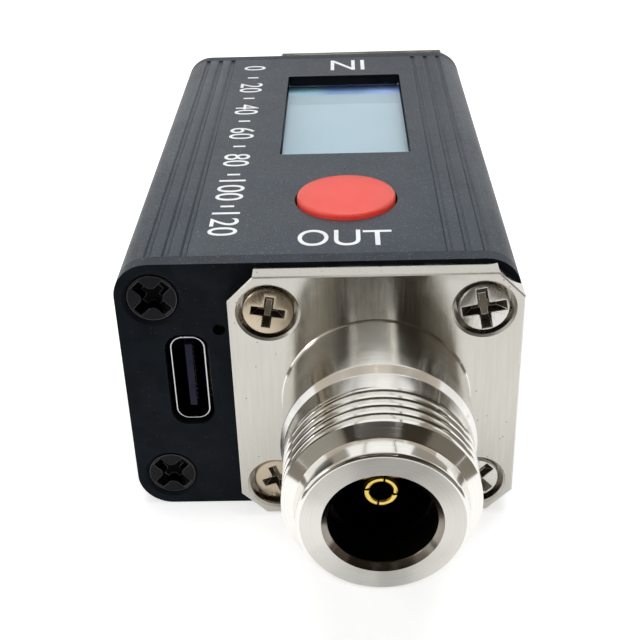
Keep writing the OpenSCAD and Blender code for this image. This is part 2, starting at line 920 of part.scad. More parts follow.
case_tube();
front_end_plate();
rear_end_plate();
plate_screws();
out_connector_body();
out_insulator();
out_contact();
in_connector_body();
in_insulator();
in_contact();
corner_screws();
flange_screws();
window_tape();
display_window();
lcd_glass();
lcd_reflector();
lcd_frame();
display_board();
controller_chip();
board_spacers();
spacer_screws();
board_plug();
board_socket();
main_board();
coupler_line();
shield_can();
detector_chips();
charging_board();
charger_chip();
charge_led();
usb_shell();
usb_tongue();
usb_contacts();
battery_cell();
battery_pad();
battery_leads();
button_cap();
switch_stem();
switch_housing();
switch_cover();
switch_dome();
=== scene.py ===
"""Finishes and fine shapes of an inline RF power meter.

Lengths are in millimetres, apart from Blender's own units, which are metres. The case stands on the
floor with its output end towards -Y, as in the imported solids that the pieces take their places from.
"""
import json
from math import cos, pi, radians, sin, sqrt

import bmesh
import bpy
from mathutils import Matrix, Quaternion, Vector

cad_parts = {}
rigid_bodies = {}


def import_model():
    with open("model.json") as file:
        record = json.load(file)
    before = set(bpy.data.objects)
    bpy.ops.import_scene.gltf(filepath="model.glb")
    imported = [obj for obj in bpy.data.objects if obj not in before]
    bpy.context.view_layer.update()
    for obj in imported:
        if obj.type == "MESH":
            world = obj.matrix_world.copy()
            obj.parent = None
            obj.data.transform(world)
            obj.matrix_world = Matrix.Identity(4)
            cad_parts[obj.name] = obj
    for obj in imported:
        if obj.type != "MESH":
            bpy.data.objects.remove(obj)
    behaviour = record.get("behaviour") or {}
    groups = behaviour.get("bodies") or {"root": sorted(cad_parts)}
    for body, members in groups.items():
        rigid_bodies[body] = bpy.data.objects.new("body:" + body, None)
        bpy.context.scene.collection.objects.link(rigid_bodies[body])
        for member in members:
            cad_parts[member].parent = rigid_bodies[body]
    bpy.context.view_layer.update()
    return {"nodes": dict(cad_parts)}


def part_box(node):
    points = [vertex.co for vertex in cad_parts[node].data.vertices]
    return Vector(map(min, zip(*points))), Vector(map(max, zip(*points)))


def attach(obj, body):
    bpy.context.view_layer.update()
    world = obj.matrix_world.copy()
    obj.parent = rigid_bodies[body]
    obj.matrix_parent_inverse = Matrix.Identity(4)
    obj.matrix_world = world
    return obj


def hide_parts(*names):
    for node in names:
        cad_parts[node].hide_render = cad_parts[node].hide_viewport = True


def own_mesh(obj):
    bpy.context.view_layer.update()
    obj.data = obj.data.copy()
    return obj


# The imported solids: 41 nodes on two bodies, the housing and the button that slides in it.
# Each is either kept with a new finish or stands behind a finer piece.
for leftover in list(bpy.data.objects):
    bpy.data.objects.remove(leftover)
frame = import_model()
MM = 0.001


def box_of(node):
    """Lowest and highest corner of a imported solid, in millimetres."""
    low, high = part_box(node)
    return low / MM, high / MM


# The camera: a short telephoto above and in front of the output end, looking down along the case.
# It is held a little askew, as in a hand-held close-up.
VIEW_FROM = Vector((2.63, -114.24, 69.73)) * MM
VIEW_TURN = radians(-1.641)
VIEW_DOWN = radians(30.28)
VIEW_ROLL = radians(-1.876)
LENS = 62.77
SENSOR_WIDE = 36
SEEN_FROM = 1 * MM
SEEN_TO = 10


def add_object(name, data):
    """Links a new object to the scene."""
    made = bpy.data.objects.new(name, data)
    bpy.context.scene.collection.objects.link(made)
    return made


camera = add_object("camera", bpy.data.cameras.new("camera"))
camera.data.lens = LENS
camera.data.sensor_width = SENSOR_WIDE
camera.data.clip_start = SEEN_FROM
camera.data.clip_end = SEEN_TO
camera.location = VIEW_FROM
sight = Vector((sin(VIEW_TURN) * cos(VIEW_DOWN), cos(VIEW_TURN) * cos(VIEW_DOWN), -sin(VIEW_DOWN)))
camera.rotation_mode = "QUATERNION"
camera.rotation_quaternion = sight.to_track_quat("-Z", "Y") @ Quaternion((0, 0, 1), VIEW_ROLL)
bpy.context.scene.camera = camera


# Case tube: one aluminium extrusion with three fine grooves along each long edge, sawn to length,
# milled for the display and the button, bead-blasted and anodised black.
CASE_EDGE = 0.1
CASE_DARK = (0.0275, 0.0345, 0.0445)
CASE_LIGHT = (0.0325, 0.0405, 0.052)
CASE_SPARKLE = (0.19, 0.205, 0.23)
# Lighter edge colour: partly wear, partly painted highlight.
CASE_WORN_AND_LIT = (0.06, 0.068, 0.08)
# Near black: painted shade for the cut-out walls and the countersinks.
PAINTED_SHADE_COLOUR = (0.004, 0.0045, 0.006)
OXIDE_TINT = (0.76, 0.87, 1.0)
CUTOUT_REACH = (12, 27.5)
CUTOUT_WALL = (0.5, 1.6)
STEEP = 0.5
WELD = 0.0005
SEAM_ANGLE = 0.4
NOISE_BAND = (0.3, 0.7)
SMUDGE_BAND = (0.4, 0.68)
MOTTLE_BAND = (0.35, 0.65)


def feed(tree, socket, value):
    """Sets an input, or links it where the value is another node's output."""
    if isinstance(value, bpy.types.NodeSocket):
        tree.links.new(value, socket)
    else:
        socket.default_value = value


def add_node(tree, kind, inputs=None, **properties):
    """Adds a shader node. An input is a value, or another node's output to link from."""
    made = tree.nodes.new("ShaderNode" + kind)
    for name, value in properties.items():
        setattr(made, name, value)
    for socket, value in (inputs or {}).items():
        feed(tree, made.inputs[socket], value)
    return made


def calculate(tree, operation, first, second=0.0):
    """One step of arithmetic between two values."""
    return add_node(tree, "Math", {0: first, 1: second}, operation=operation).outputs[0]


def ease(tree, value, low, high, to_low=0.0, to_high=1.0):
    """Maps a value's stretch from low to high smoothly onto another stretch."""
    sockets = {"Value": value, "From Min": low, "From Max": high, "To Min": to_low, "To Max": to_high}
    return add_node(tree, "MapRange", sockets, interpolation_type="SMOOTHSTEP").outputs[0]


def spread(tree, noisy, low=0.0, high=1.0):
    """Maps the middle of a noise, where most of it lies, onto a stretch."""
    return ease(tree, noisy, *NOISE_BAND, low, high)


def between(tree, share, low, high):
    """Maps a share from 0 to 1 smoothly onto a stretch."""
    return ease(tree, share, 0.0, 1.0, low, high)


def blend_colours(tree, share, first, second):
    """Mixes two colours, given as values or as outputs to link from."""
    mixer = add_node(tree, "Mix", {"Factor": share}, data_type="RGBA")
    for socket, colour in (("A", first), ("B", second)):
        slot = next(s for s in mixer.inputs if s.name == socket and s.type == "RGBA")
        feed(tree, slot, (*colour, 1) if isinstance(colour, tuple) else colour)
    return next(s for s in mixer.outputs if s.type == "RGBA")


def object_spot(tree):
    """Where a point lies on its object."""
    return add_node(tree, "TexCoord").outputs["Object"]


def noise(tree, spot, scale, detail, distortion=0.0):
    """Soft noise, mostly near a half."""
    sockets = {"Vector": spot, "Scale": scale, "Detail": detail, "Distortion": distortion}
    return add_node(tree, "TexNoise", sockets).outputs["Fac"]


def start_group(name, inputs):
    """A new shader node group with named values going in; returns it with those values."""
    group = bpy.data.node_groups.new(name, "ShaderNodeTree")
    for label, value in inputs.items():
        socket = group.interface.new_socket(label, in_out="INPUT", socket_type="NodeSocketFloat")
        socket.default_value = value
    return group, group.nodes.new("NodeGroupInput").outputs


def close_group(group, **results):
    """Names what a node group puts out, and links it."""
    for label in results:
        group.interface.new_socket(label, in_out="OUTPUT", socket_type="NodeSocketFloat")
    ending = group.nodes.new("NodeGroupOutput")
    for label, result in results.items():
        group.links.new(result, ending.inputs[label])


def place_group(tree, group, **values):
    """Puts a node group into a material with its own values, named with underscores for spaces."""
    placed = add_node(tree, "Group", node_tree=group)
    for name, value in values.items():
        placed.inputs[name.replace("_", " ").capitalize()].default_value = value
    return placed.outputs


def start_finish(name):
    """A new material and its node tree."""
    material = bpy.data.materials.new(name)
    material.use_nodes = True
    return material, material.node_tree


def wire(material, **sockets):
    """Links or sets the sockets of a material's shader, named with underscores; returns the material."""
    tree = material.node_tree
    for name, value in sockets.items():
        feed(tree, tree.nodes["Principled BSDF"].inputs[name.replace("_", " ")], value)
    return material


def relief(tree, height, depth, strength=1.0):
    """A bump of the given depth in millimetres."""
    sockets = {"Height": height, "Distance": depth * MM, "Strength": strength}
    return add_node(tree, "Bump", sockets).outputs[0]


# Fine grain: an even tooth at one scale, and a slow mottling at a tenth of it.
fine_grain, given = start_group("Fine grain", {"Scale": 4000.0})
grain_spot = object_spot(fine_grain)
slow_scale = calculate(fine_grain, "MULTIPLY", given["Scale"], 0.1)
close_group(
    fine_grain,
    Tooth=noise(fine_grain, grain_spot, given["Scale"], detail=3.0),
    Mottle=noise(fine_grain, grain_spot, slow_scale, detail=4.0),
)

# Specks: small separate dots, of which only the given share shows.
specks, given = start_group("Specks", {"Scale": 5000.0, "Share": 0.1, "Size": 0.4})
cells = add_node(specks, "TexVoronoi", {"Vector": object_spot(specks), "Scale": given["Scale"]}).outputs
luck = add_node(specks, "SeparateColor", {"Color": cells["Color"]}).outputs["Red"]
chosen = calculate(specks, "LESS_THAN", luck, given["Share"])
near = calculate(specks, "LESS_THAN", cells["Distance"], given["Size"])
close_group(specks, Mask=calculate(specks, "MULTIPLY", chosen, near))

# Handling: broad faint smudges left by fingers.
handling, given = start_group("Handling", {"Scale": 120.0})
broad = noise(handling, object_spot(handling), given["Scale"], detail=5.0, distortion=0.6)
close_group(handling, Smudge=ease(handling, broad, *SMUDGE_BAND))


def dulled(tree, marks, smooth, rough, scale, amount):
    """Roughness that follows the marks on a surface, and rises a little where fingers have been."""
    smudge = place_group(tree, handling, scale=scale)["Smudge"]
    return calculate(tree, "ADD", spread(tree, marks, smooth, rough), between(tree, smudge, 0.0, amount))


def anodised_finish(name, dark, light, sparkle, share, smooth, rough, shine):
    """Bead-blasted aluminium under a coloured oxide: an even tooth, mottling and a few bright grains."""
    material, tree = start_finish(name)
    grain = place_group(tree, fine_grain, scale=5200.0)
    dots = place_group(tree, specks, scale=9000.0, share=share, size=0.38)
    ground = blend_colours(tree, ease(tree, grain["Mottle"], *MOTTLE_BAND), dark, light)
    return wire(
        material,
        Base_Color=blend_colours(tree, dots["Mask"], ground, sparkle),
        Roughness=dulled(tree, grain["Tooth"], smooth, rough, scale=90.0, amount=0.05),
        Normal=relief(tree, grain["Tooth"], depth=0.006, strength=0.5),
        Specular_IOR_Level=shine,
        Specular_Tint=(*OXIDE_TINT, 1),
    )


case_black = anodised_finish(
    "Black anodised case", CASE_DARK, CASE_LIGHT, CASE_SPARKLE, share=0.07, smooth=0.36, rough=0.5, shine=0.56
)
# Lighter anodising for the tube's rounded edges, partly wear and partly a painted highlight along them; the
# end plates use it on their faces against the tube as painted light.
edge_wear_and_light = anodised_finish(
    "Worn case edge, painted light", CASE_LIGHT, CASE_WORN_AND_LIT, CASE_SPARKLE, share=0.1, smooth=0.3, rough=0.42, shine=0.42
)
# Near black, standing for shade: painted shade on the walls of the tube's top cut-outs and on the end plates'
# countersinks.
painted_shade_black = anodised_finish(
    "Black in painted shade", PAINTED_SHADE_COLOUR, PAINTED_SHADE_COLOUR, PAINTED_SHADE_COLOUR, share=0.0, smooth=0.5, rough=0.6, shine=0.1
)


def show(name, mesh, materials, body, slot, *nodes):
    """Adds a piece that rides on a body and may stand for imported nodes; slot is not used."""
    piece = add_object(name, mesh)
    for material in materials:
        mesh.materials.append(material)
    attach(piece, body)
    if nodes:
        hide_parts(*nodes)
    return piece


def shade(mesh, angle=32):
    """Smooth shading with creases where two faces meet at more than the angle, in degrees."""
    mesh.shade_smooth()
    mesh.set_sharp_from_angle(angle=radians(angle))


def ease_edges(piece, width, segments=2, worn=-1, angle=40, clamped=True):
    """Rounds the sharp edges of a piece; worn gives the material slot of the rounding."""
    rounding = piece.modifiers.new("eased edges", "BEVEL")
    rounding.width = width * MM
    rounding.segments = segments
    rounding.limit_method = "ANGLE"
    rounding.angle_limit = radians(angle)
    rounding.harden_normals = True
    rounding.use_clamp_overlap = clamped
    rounding.material = worn
    shade(piece.data, angle)


def mesh_from(name, shape):
    """Makes a bmesh into a mesh and frees it."""
    mesh = bpy.data.meshes.new(name)
    shape.to_mesh(mesh)
    shape.free()
    return mesh


def solid_mesh(node):
    """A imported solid's mesh, welded, with the seams across its flat faces removed."""
    shape = bmesh.new()
    shape.from_mesh(frame["nodes"][node].data)
    bmesh.ops.remove_doubles(shape, verts=shape.verts, dist=WELD * MM)
    bmesh.ops.dissolve_limit(shape, angle_limit=radians(SEAM_ANGLE), verts=shape.verts, edges=shape.edges)
    return mesh_from(node, shape)


def refine(name, node, materials, slot, edge, repaints=(), mesh=None, worn=-1):
    """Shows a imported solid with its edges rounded. Each repaint is a material slot and a test of a
    face's middle, in millimetres, and of the way it faces; mesh gives a changed shape of the solid."""
    mesh = mesh or solid_mesh(node)
    piece = show(name, mesh, materials, "housing", slot, node)
    for finish, picks in repaints:
        for face in mesh.polygons:
            if picks(face.center / MM, face.normal):
                face.material_index = finish
    ease_edges(piece, edge, worn=worn)


case_high = box_of("case_tube")[1]
case_top = case_high.z


def in_top_cutout(spot, facing):
    """Whether a face of the tube is a wall of the display's or the button's cut-out."""
    through_top = CUTOUT_WALL[0] < case_top - spot.z < CUTOUT_WALL[1]
    within = abs(spot.x) < CUTOUT_REACH[0] and abs(spot.y) < CUTOUT_REACH[1]
    return through_top and within and abs(facing.z) < STEEP


# Slot 2, near black, goes on the walls of the display's and the button's cut-outs: painted shade.
case_finishes = [case_black, edge_wear_and_light, painted_shade_black]
refine("case", "case_tube", case_finishes, "case", CASE_EDGE, [(2, in_top_cutout)], worn=1)


# Printed marks: white ink, screen-printed on the anodising. The port names stand beside their sockets,
# each read from its own end, and a row of numbers with ticks runs along the left side.
INK_THICK = 0.02
INK_WHITE = (0.94, 0.95, 0.96)
INK_GREY = (0.84, 0.86, 0.88)
INK_THIN = (0.35, 0.6)
OUT_LETTERS = (
    ("O", (-0.31, -24.87), (2.75, 3.19)),
    ("U", (2.73, -24.95), (2.35, 3.1)),
    ("T", (5.42, -25.05), (2.57, 2.98)),
)
IN_MIDDLE = (3.2, 24.85)
IN_SIZE = (4.26, 3.9)
NUMBERS = [str(20 * step) for step in range(7)]
NUMBER_HEIGHT = 2.7
NUMBER_NARROW = 0.85
DIGIT_WIDE = 0.72
ROW_MIDDLE_X = -8.55
ROW_FROM_Y = 24.4
ROW_TO_Y = -21.6
TICK_LONG = 1.3
TICK_WIDE = 0.36


def evaluated(holder):
    """An object with its modifiers applied, or with its words set."""
    bpy.context.view_layer.update()
    return holder.evaluated_get(bpy.context.evaluated_depsgraph_get())


def letters(words):
    """Flat letters in the built-in font as a bmesh, lying in the XY plane."""
    curve = bpy.data.curves.new(words, "FONT")
    curve.body = words
    curve.extrude = 0.5
    writer = add_object(words, curve)
    flat = bpy.data.meshes.new_from_object(evaluated(writer))
    bpy.data.objects.remove(writer)
    shape = bmesh.new()
    shape.from_mesh(flat)
    bmesh.ops.remove_doubles(shape, verts=shape.verts, dist=1e-5)
    return shape


def extent(shape):
    """Lowest and highest corner of a bmesh."""
    corners = [v.co for v in shape.verts]
    return Vector(map(min, zip(*corners))), Vector(map(max, zip(*corners)))


def add_shape(whole, part, matrix):
    """Moves a bmesh by a matrix, adds it to another one and frees it."""
    bmesh.ops.transform(part, matrix=matrix, verts=part.verts)
    carrier = mesh_from("carrier", part)
    whole.from_mesh(carrier)
    bpy.data.meshes.remove(carrier)


def on_top(middle):
    """Places a shape of the ink's thickness on the case's top."""
    return Matrix.Translation((*middle, case_top + INK_THICK / 2))


def print_on_top(sheet, words, middle, size, turn=0):
    """Prints words on the case's top with the given middle and size, turned by an angle in degrees."""
    shape = letters(words)
    low, high = extent(shape)
    span = high - low
    swing = Matrix.Rotation(radians(turn), 4, "Z")
    stretch = Matrix.Diagonal((size[0] / span.x, size[1] / span.y, INK_THICK / span.z, 1))
    add_shape(sheet, shape, on_top(middle) @ swing @ stretch @ Matrix.Translation(-(low + high) / 2))


def finished(name, shape, angle=32):
    """Turns a bmesh drawn in millimetres into a shaded mesh."""
    bmesh.ops.recalc_face_normals(shape, faces=shape.faces)
    bmesh.ops.scale(shape, vec=(MM, MM, MM), verts=shape.verts)
    mesh = mesh_from(name, shape)
    shade(mesh, angle)
    return mesh


def ink_finish():
    """Screen-printing ink: nearly white, matt, a little thin in places."""
    material, tree = start_finish("White ink")
    grain = place_group(tree, fine_grain, scale=6000.0)
    return wire(
        material,
        Base_Color=blend_colours(tree, ease(tree, grain["Mottle"], *INK_THIN), INK_GREY, INK_WHITE),
        Roughness=spread(tree, grain["Tooth"], 0.45, 0.6),
        Normal=relief(tree, grain["Tooth"], depth=0.004, strength=0.4),
    )


marks = bmesh.new()
for letter, letter_middle, letter_size in OUT_LETTERS:
    print_on_top(marks, letter, letter_middle, letter_size)
print_on_top(marks, "IN", IN_MIDDLE, IN_SIZE, turn=180)
row_step = (ROW_TO_Y - ROW_FROM_Y) / (len(NUMBERS) - 1)
for place_in_row, number in enumerate(NUMBERS):
    number_y = ROW_FROM_Y + place_in_row * row_step
    number_size = (len(number) * NUMBER_HEIGHT * DIGIT_WIDE * NUMBER_NARROW, NUMBER_HEIGHT)
    print_on_top(marks, number, (ROW_MIDDLE_X, number_y), number_size, turn=-90)
    if place_in_row:
        tick = bmesh.new()
        bmesh.ops.create_cube(tick, size=1)
        tick_size = Matrix.Diagonal((TICK_LONG, TICK_WIDE, INK_THICK, 1))
        add_shape(marks, tick, on_top((ROW_MIDDLE_X, number_y - row_step / 2)) @ tick_size)
show("printed_marks", finished("printed_marks", marks), [ink_finish()], "housing", "case")


# Display: a clear pane stuck under the case's wall with a frame of black tape, and behind it a pale
# blank liquid-crystal glass over a white reflector, held in a black tray on the display board.
PANE_TINT = (0.93, 0.97, 0.98)
PANE_IOR = 1.15
PANE_EDGE = 0.03
LCD_PALE = (0.363, 0.455, 0.51)
LCD_BLUE = (0.40, 0.488, 0.554)
LEDGE_TEAL = (0.32, 0.56, 0.66)
LEDGE_NAVY = (0.2, 0.32, 0.6)
LEDGE_VIOLET = (0.36, 0.5, 0.92)
LEDGE_WIDE = 2.8
LEDGE_SOFT = 0.4
TEAL_TO_NAVY = (-1.5, 1.5)
NAVY_TO_VIOLET = (4, 8)


def plastic_finish(name, dark, light, smooth, rough, scale=3000.0, depth=0.004, shine=0.5, milky=0.0):
    """Moulded plastic: a faint tooth from the mould, finger marks in the gloss; milky lets light in."""
    material, tree = start_finish(name)
    grain = place_group(tree, fine_grain, scale=scale)
    touch = place_group(tree, handling, scale=140.0)
    return wire(
        material,
        Base_Color=blend_colours(tree, spread(tree, grain["Mottle"]), dark, light),
        Roughness=between(tree, touch["Smudge"], smooth, rough),
        Normal=relief(tree, grain["Tooth"], depth, strength=0.5),
        Specular_IOR_Level=shine,
        Subsurface_Weight=milky,
        Subsurface_Scale=2 * MM,
    )


def pane_finish():
    """Clear acrylic with the faint haze that wiping leaves."""
    material, tree = start_finish("Clear pane")
    grain = place_group(tree, fine_grain, scale=3000.0)
    return wire(
        material,
        Base_Color=(*PANE_TINT, 1),
        Roughness=spread(tree, grain["Tooth"], 0.02, 0.022),
        Transmission_Weight=1.0,
        IOR=PANE_IOR,
    )


def lcd_finish(far_y):
    """A blank display: pale blue-grey, with a coloured contact ledge along its far edge."""
    material, tree = start_finish("Blank display")
    grain = place_group(tree, fine_grain, scale=700.0)
    across, along = add_node(tree, "SeparateXYZ", {"Vector": object_spot(tree)}).outputs[:2]

    def passing(way, start, end):
        return ease(tree, way, start * MM, end * MM)

    starts = far_y - LEDGE_WIDE
    ledge = passing(along, starts - LEDGE_SOFT, starts + LEDGE_SOFT)
    face = blend_colours(tree, spread(tree, grain["Mottle"]), LCD_PALE, LCD_BLUE)
    left_half = blend_colours(tree, passing(across, *TEAL_TO_NAVY), LEDGE_TEAL, LEDGE_NAVY)
    colours = blend_colours(tree, passing(across, *NAVY_TO_VIOLET), left_half, LEDGE_VIOLET)
    return wire(
        material,
        Base_Color=blend_colours(tree, ledge, face, colours),
        Roughness=spread(tree, grain["Mottle"], 0.2, 0.24),
        Specular_IOR_Level=0.0,
    )


def dress(material, *nodes):
    """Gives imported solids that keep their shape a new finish."""
    for node in nodes:
        for holder in frame["nodes"][node].material_slots:
            holder.material = material


black_moulding = plastic_finish(
    "Black moulding", (0.012, 0.012, 0.013), (0.022, 0.022, 0.025), smooth=0.38, rough=0.5
)
black_tape = plastic_finish(
    "Black tape", (0.008, 0.008, 0.008), (0.014, 0.014, 0.014), smooth=0.5, rough=0.62, depth=0.01
)
white_film = plastic_finish("White reflector", (0.72, 0.76, 0.78), (0.78, 0.82, 0.84), smooth=0.3, rough=0.4)
dress(black_tape, "window_tape")
dress(lcd_finish(box_of("lcd_glass")[1].y), "lcd_glass")
dress(white_film, "lcd_reflector")
dress(black_moulding, "lcd_frame")
refine("window_pane", "display_window", [pane_finish()], "pane", PANE_EDGE)


# Button: a moulded coral-red cap with a soft edge and a slight crown, pressed onto the stem of a small
# tactile switch whose steel cover and snap dome sit in a black base on the display board.
CAP_RED = (0.97, 0.098, 0.072)
CAP_DEEP = (0.95, 0.086, 0.062)
CAP_ROUND = 0.29
CAP_CROWN = 0.08
CAP_COLLAR = 0.9
CROWN_STEPS = 8
STEM_FOOT = 0.4
STEM_FIT = 0.02
SIDES = 128


def level_loop(shape, points, height):
    """Puts a closed outline of (x, y) points into a bmesh at a height."""
    return [shape.verts.new((x, y, height)) for x, y in points]


def ring(shape, radius, height, middle=(0, 0), sides=SIDES):
    """A circle of points round an upright axis."""
    turns = [2 * pi * i / sides for i in range(sides)]
    points = [(middle[0] + radius * cos(a), middle[1] + radius * sin(a)) for a in turns]
    return level_loop(shape, points, height)


def turned(outline, sides=SIDES):
    """Spins an outline of (radius, height) points round the Z axis into a bmesh."""
    shape = bmesh.new()
    rings = [ring(shape, radius, height, sides=sides if radius > 0 else 1) for radius, height in outline]
    for first, second in zip(rings, rings[1:]):
        for i in range(sides):
            j = (i + 1) % sides
            around = [first[i % len(first)], first[j % len(first)]]
            around += [second[j % len(second)], second[i % len(second)]]
            corners = list(dict.fromkeys(around))
            if len(corners) > 2:
                shape.faces.new(corners)
    return shape


def arc(middle, radius, start, end, steps=6):
    """Points of (radius, height) on an arc, with angles in degrees."""
    angles = [radians(start + (end - start) * i / steps) for i in range(steps + 1)]
    return [(middle[0] + radius * cos(a), middle[1] + radius * sin(a)) for a in angles]


cap_low, cap_high = box_of("button_cap")
stem_low, stem_high = box_of("switch_stem")
cap_middle = (cap_low + cap_high) / 2
collar_r = (cap_high.x - cap_low.x) / 2
cap_r = collar_r - CAP_COLLAR
stem_r = (stem_high.x - stem_low.x) / 2 - STEM_FOOT
edge_r = cap_r - CAP_ROUND
edge_z = cap_high.z - CAP_CROWN - CAP_ROUND
outwards = [1 - i / CROWN_STEPS for i in range(1, CROWN_STEPS + 1)]
cap_outline = [
    (0, stem_high.z), (stem_r + STEM_FIT, stem_high.z), (stem_r + STEM_FIT, cap_low.z),
    (collar_r, cap_low.z), (collar_r, cap_low.z + CAP_COLLAR), (cap_r, cap_low.z + CAP_COLLAR),
    *arc((edge_r, edge_z), CAP_ROUND, 0, 90),
    *[(edge_r * share, cap_high.z - CAP_CROWN * share ** 2) for share in outwards],
]
cap_shape = turned(cap_outline)
bmesh.ops.translate(cap_shape, vec=(cap_middle.x, cap_middle.y, 0), verts=cap_shape.verts)
coral = plastic_finish(
    "Coral red plastic", CAP_DEEP, CAP_RED, smooth=0.34, rough=0.46, scale=2500.0, depth=0.003, milky=1.0
)
show("button", finished("button", cap_shape), [coral], "button", "button", "button_cap")
natural = plastic_finish("Natural plastic", (0.5, 0.47, 0.4), (0.56, 0.53, 0.46), smooth=0.4, rough=0.5)
dress(natural, "switch_stem")
dress(black_moulding, "switch_housing")


# Plated metals inside: the switch's cover and dome and the coupler's lid are bright sheet steel, the
# spacers are turned brass, and the line between the two sockets is tinned copper.
STEEL_PALE = (0.70, 0.70, 0.71)
STEEL_DIM = (0.58, 0.58, 0.6)

# Brushed lines: streaks that run along Z, fine across it.
brushed, given = start_group("Brushed lines", {"Across": 9000.0, "Along": 250.0})
amounts = {"X": given["Across"], "Y": given["Across"], "Z": given["Along"]}
stretch_by = add_node(brushed, "CombineXYZ", amounts).outputs[0]
stretching = {0: object_spot(brushed), 1: stretch_by}
stretched = add_node(brushed, "VectorMath", stretching, operation="MULTIPLY").outputs[0]
close_group(brushed, Lines=noise(brushed, stretched, scale=1.0, detail=4.0))


def sheet_finish(name, dim, pale, smooth, rough):
    """Plated or drawn metal: fine streaks along it, dulled where it has been handled."""
    material, tree = start_finish(name)
    lines = place_group(tree, brushed, across=7000.0, along=400.0)["Lines"]
    return wire(
        material,
        Base_Color=blend_colours(tree, lines, dim, pale),
        Roughness=dulled(tree, lines, smooth, rough, scale=220.0, amount=0.1),
        Normal=relief(tree, lines, depth=0.002, strength=0.3),
        Metallic=1.0,
    )


bright_steel = sheet_finish("Bright plated steel", STEEL_DIM, STEEL_PALE, smooth=0.14, rough=0.26)
turned_brass = sheet_finish("Turned brass", (0.56, 0.40, 0.17), (0.68, 0.50, 0.24), smooth=0.2, rough=0.32)
tinned_copper = sheet_finish("Tinned copper", (0.55, 0.32, 0.19), (0.70, 0.46, 0.31), smooth=0.24, rough=0.36)
dress(bright_steel, "switch_cover", "shield_can")
dome_mesh = solid_mesh("switch_dome")
shade(dome_mesh)
dome = show("switch_snap_dome", dome_mesh, [bright_steel], "housing", "tinplate", "switch_dome")
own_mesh(dome)
dress(turned_brass, "board_spacers")
dress(tinned_copper, "coupler_line")


# Circuit boards: glass fibre under solder mask, with the chips and the plug between them. The green main
# board slides into the tube's right-hand ribs; the charging board stands upright on the left, drawn near
# black as painted shade where it shows in the gap beside the port.
GREEN_MASK = ((0.006, 0.035, 0.018), (0.018, 0.09, 0.045), (0.03, 0.13, 0.065))
# Near-black mask: painted shade where the charging board shows beside the port.
SHADE_BOARD_MASK = ((0.003, 0.003, 0.0035), (0.005, 0.005, 0.006), (0.009, 0.009, 0.01))
TRACK_PITCH = 900.0
TRACK_WIDE = 0.06
TRACK_BAND = (0.48, 0.52)


def board_finish(name, dark, light, track):
    """Solder mask, glossy, with copper tracks just raised under it."""
    material, tree = start_finish(name)
    grain = place_group(tree, fine_grain, scale=900.0)
    pattern = {"Vector": object_spot(tree), "Scale": TRACK_PITCH, "Mortar Size": TRACK_WIDE}
    bricks = add_node(tree, "TexBrick", pattern).outputs["Fac"]
    tracks = calculate(tree, "MULTIPLY", bricks, ease(tree, grain["Mottle"], *TRACK_BAND))
    ground = blend_colours(tree, grain["Mottle"], dark, light)
    return wire(
        material,
        Base_Color=blend_colours(tree, tracks, ground, track),
        Roughness=spread(tree, grain["Tooth"], 0.22, 0.34),
        Normal=relief(tree, tracks, depth=0.03, strength=0.6),
    )


dress(board_finish("Green board", *GREEN_MASK), "main_board", "display_board")
# The charging board's near-black mask is painted shade.
dress(board_finish("Board in painted shade", *SHADE_BOARD_MASK), "charging_board")
dress(black_moulding, "controller_chip", "detector_chips", "charger_chip", "board_plug", "board_socket")
# The charge light's lens is drawn near black: painted shade of the deep hole it sits in.
led_lens_in_shade = plastic_finish(
    "Light lens in painted shade", (0.03, 0.028, 0.024), (0.045, 0.042, 0.036), smooth=0.1, rough=0.18
)
dress(led_lens_in_shade, "charge_led")


# Battery: a flat pouch cell in aluminium laminate, stuck to the floor of the tube with a foam pad, its
# two insulated leads soldered to the charging board.
def pouch_finish():
    """Aluminium laminate with the soft creases of a vacuum-sealed pouch."""
    material, tree = start_finish("Pouch laminate")
    grain = place_group(tree, fine_grain, scale=2600.0)
    return wire(
        material,
        Base_Color=blend_colours(tree, grain["Mottle"], (0.42, 0.44, 0.46), (0.56, 0.58, 0.6)),
        Roughness=spread(tree, grain["Tooth"], 0.3, 0.44),
        Normal=relief(tree, grain["Mottle"], depth=0.15, strength=0.4),
        Metallic=0.9,
    )


foam = plastic_finish("Foam pad", (0.5, 0.47, 0.38), (0.6, 0.57, 0.48), smooth=0.75, rough=0.9, depth=0.05)
red_wire = plastic_finish("Red wire", (0.3, 0.016, 0.012), (0.4, 0.024, 0.018), smooth=0.35, rough=0.45)
dress(pouch_finish(), "battery_cell")
dress(foam, "battery_pad")
dress(red_wire, "battery_leads")


# Charging port: a drawn steel shell with a rolled front lip, soldered to the charging board, with a
# black tongue that carries two rows of gold contacts, dark in the shade of the shell.
SHELL_CORNER = 1.2
SHELL_SHEET = 0.25
LIP_STEPS = 8
LIP_BRIGHT = 5
TONGUE_EDGE = 0.15


def rounded_outline(width, height, corner, steps=10):
    """Corner points of a rectangle with round corners, centred on the origin."""
    points = []
    for turn, (side_x, side_y) in enumerate(((1, 1), (-1, 1), (-1, -1), (1, -1))):
        middle = (side_x * (width / 2 - corner), side_y * (height / 2 - corner))
        points += arc(middle, corner, 90 * turn, 90 * turn + 90, steps)
    return points


def skin(shape, first, second, material=0):
    """Joins two loops of as many points with a band of faces."""
    for i in range(len(first)):
        face = shape.faces.new((first[i - 1], first[i], second[i], second[i - 1]))
        face.material_index = material


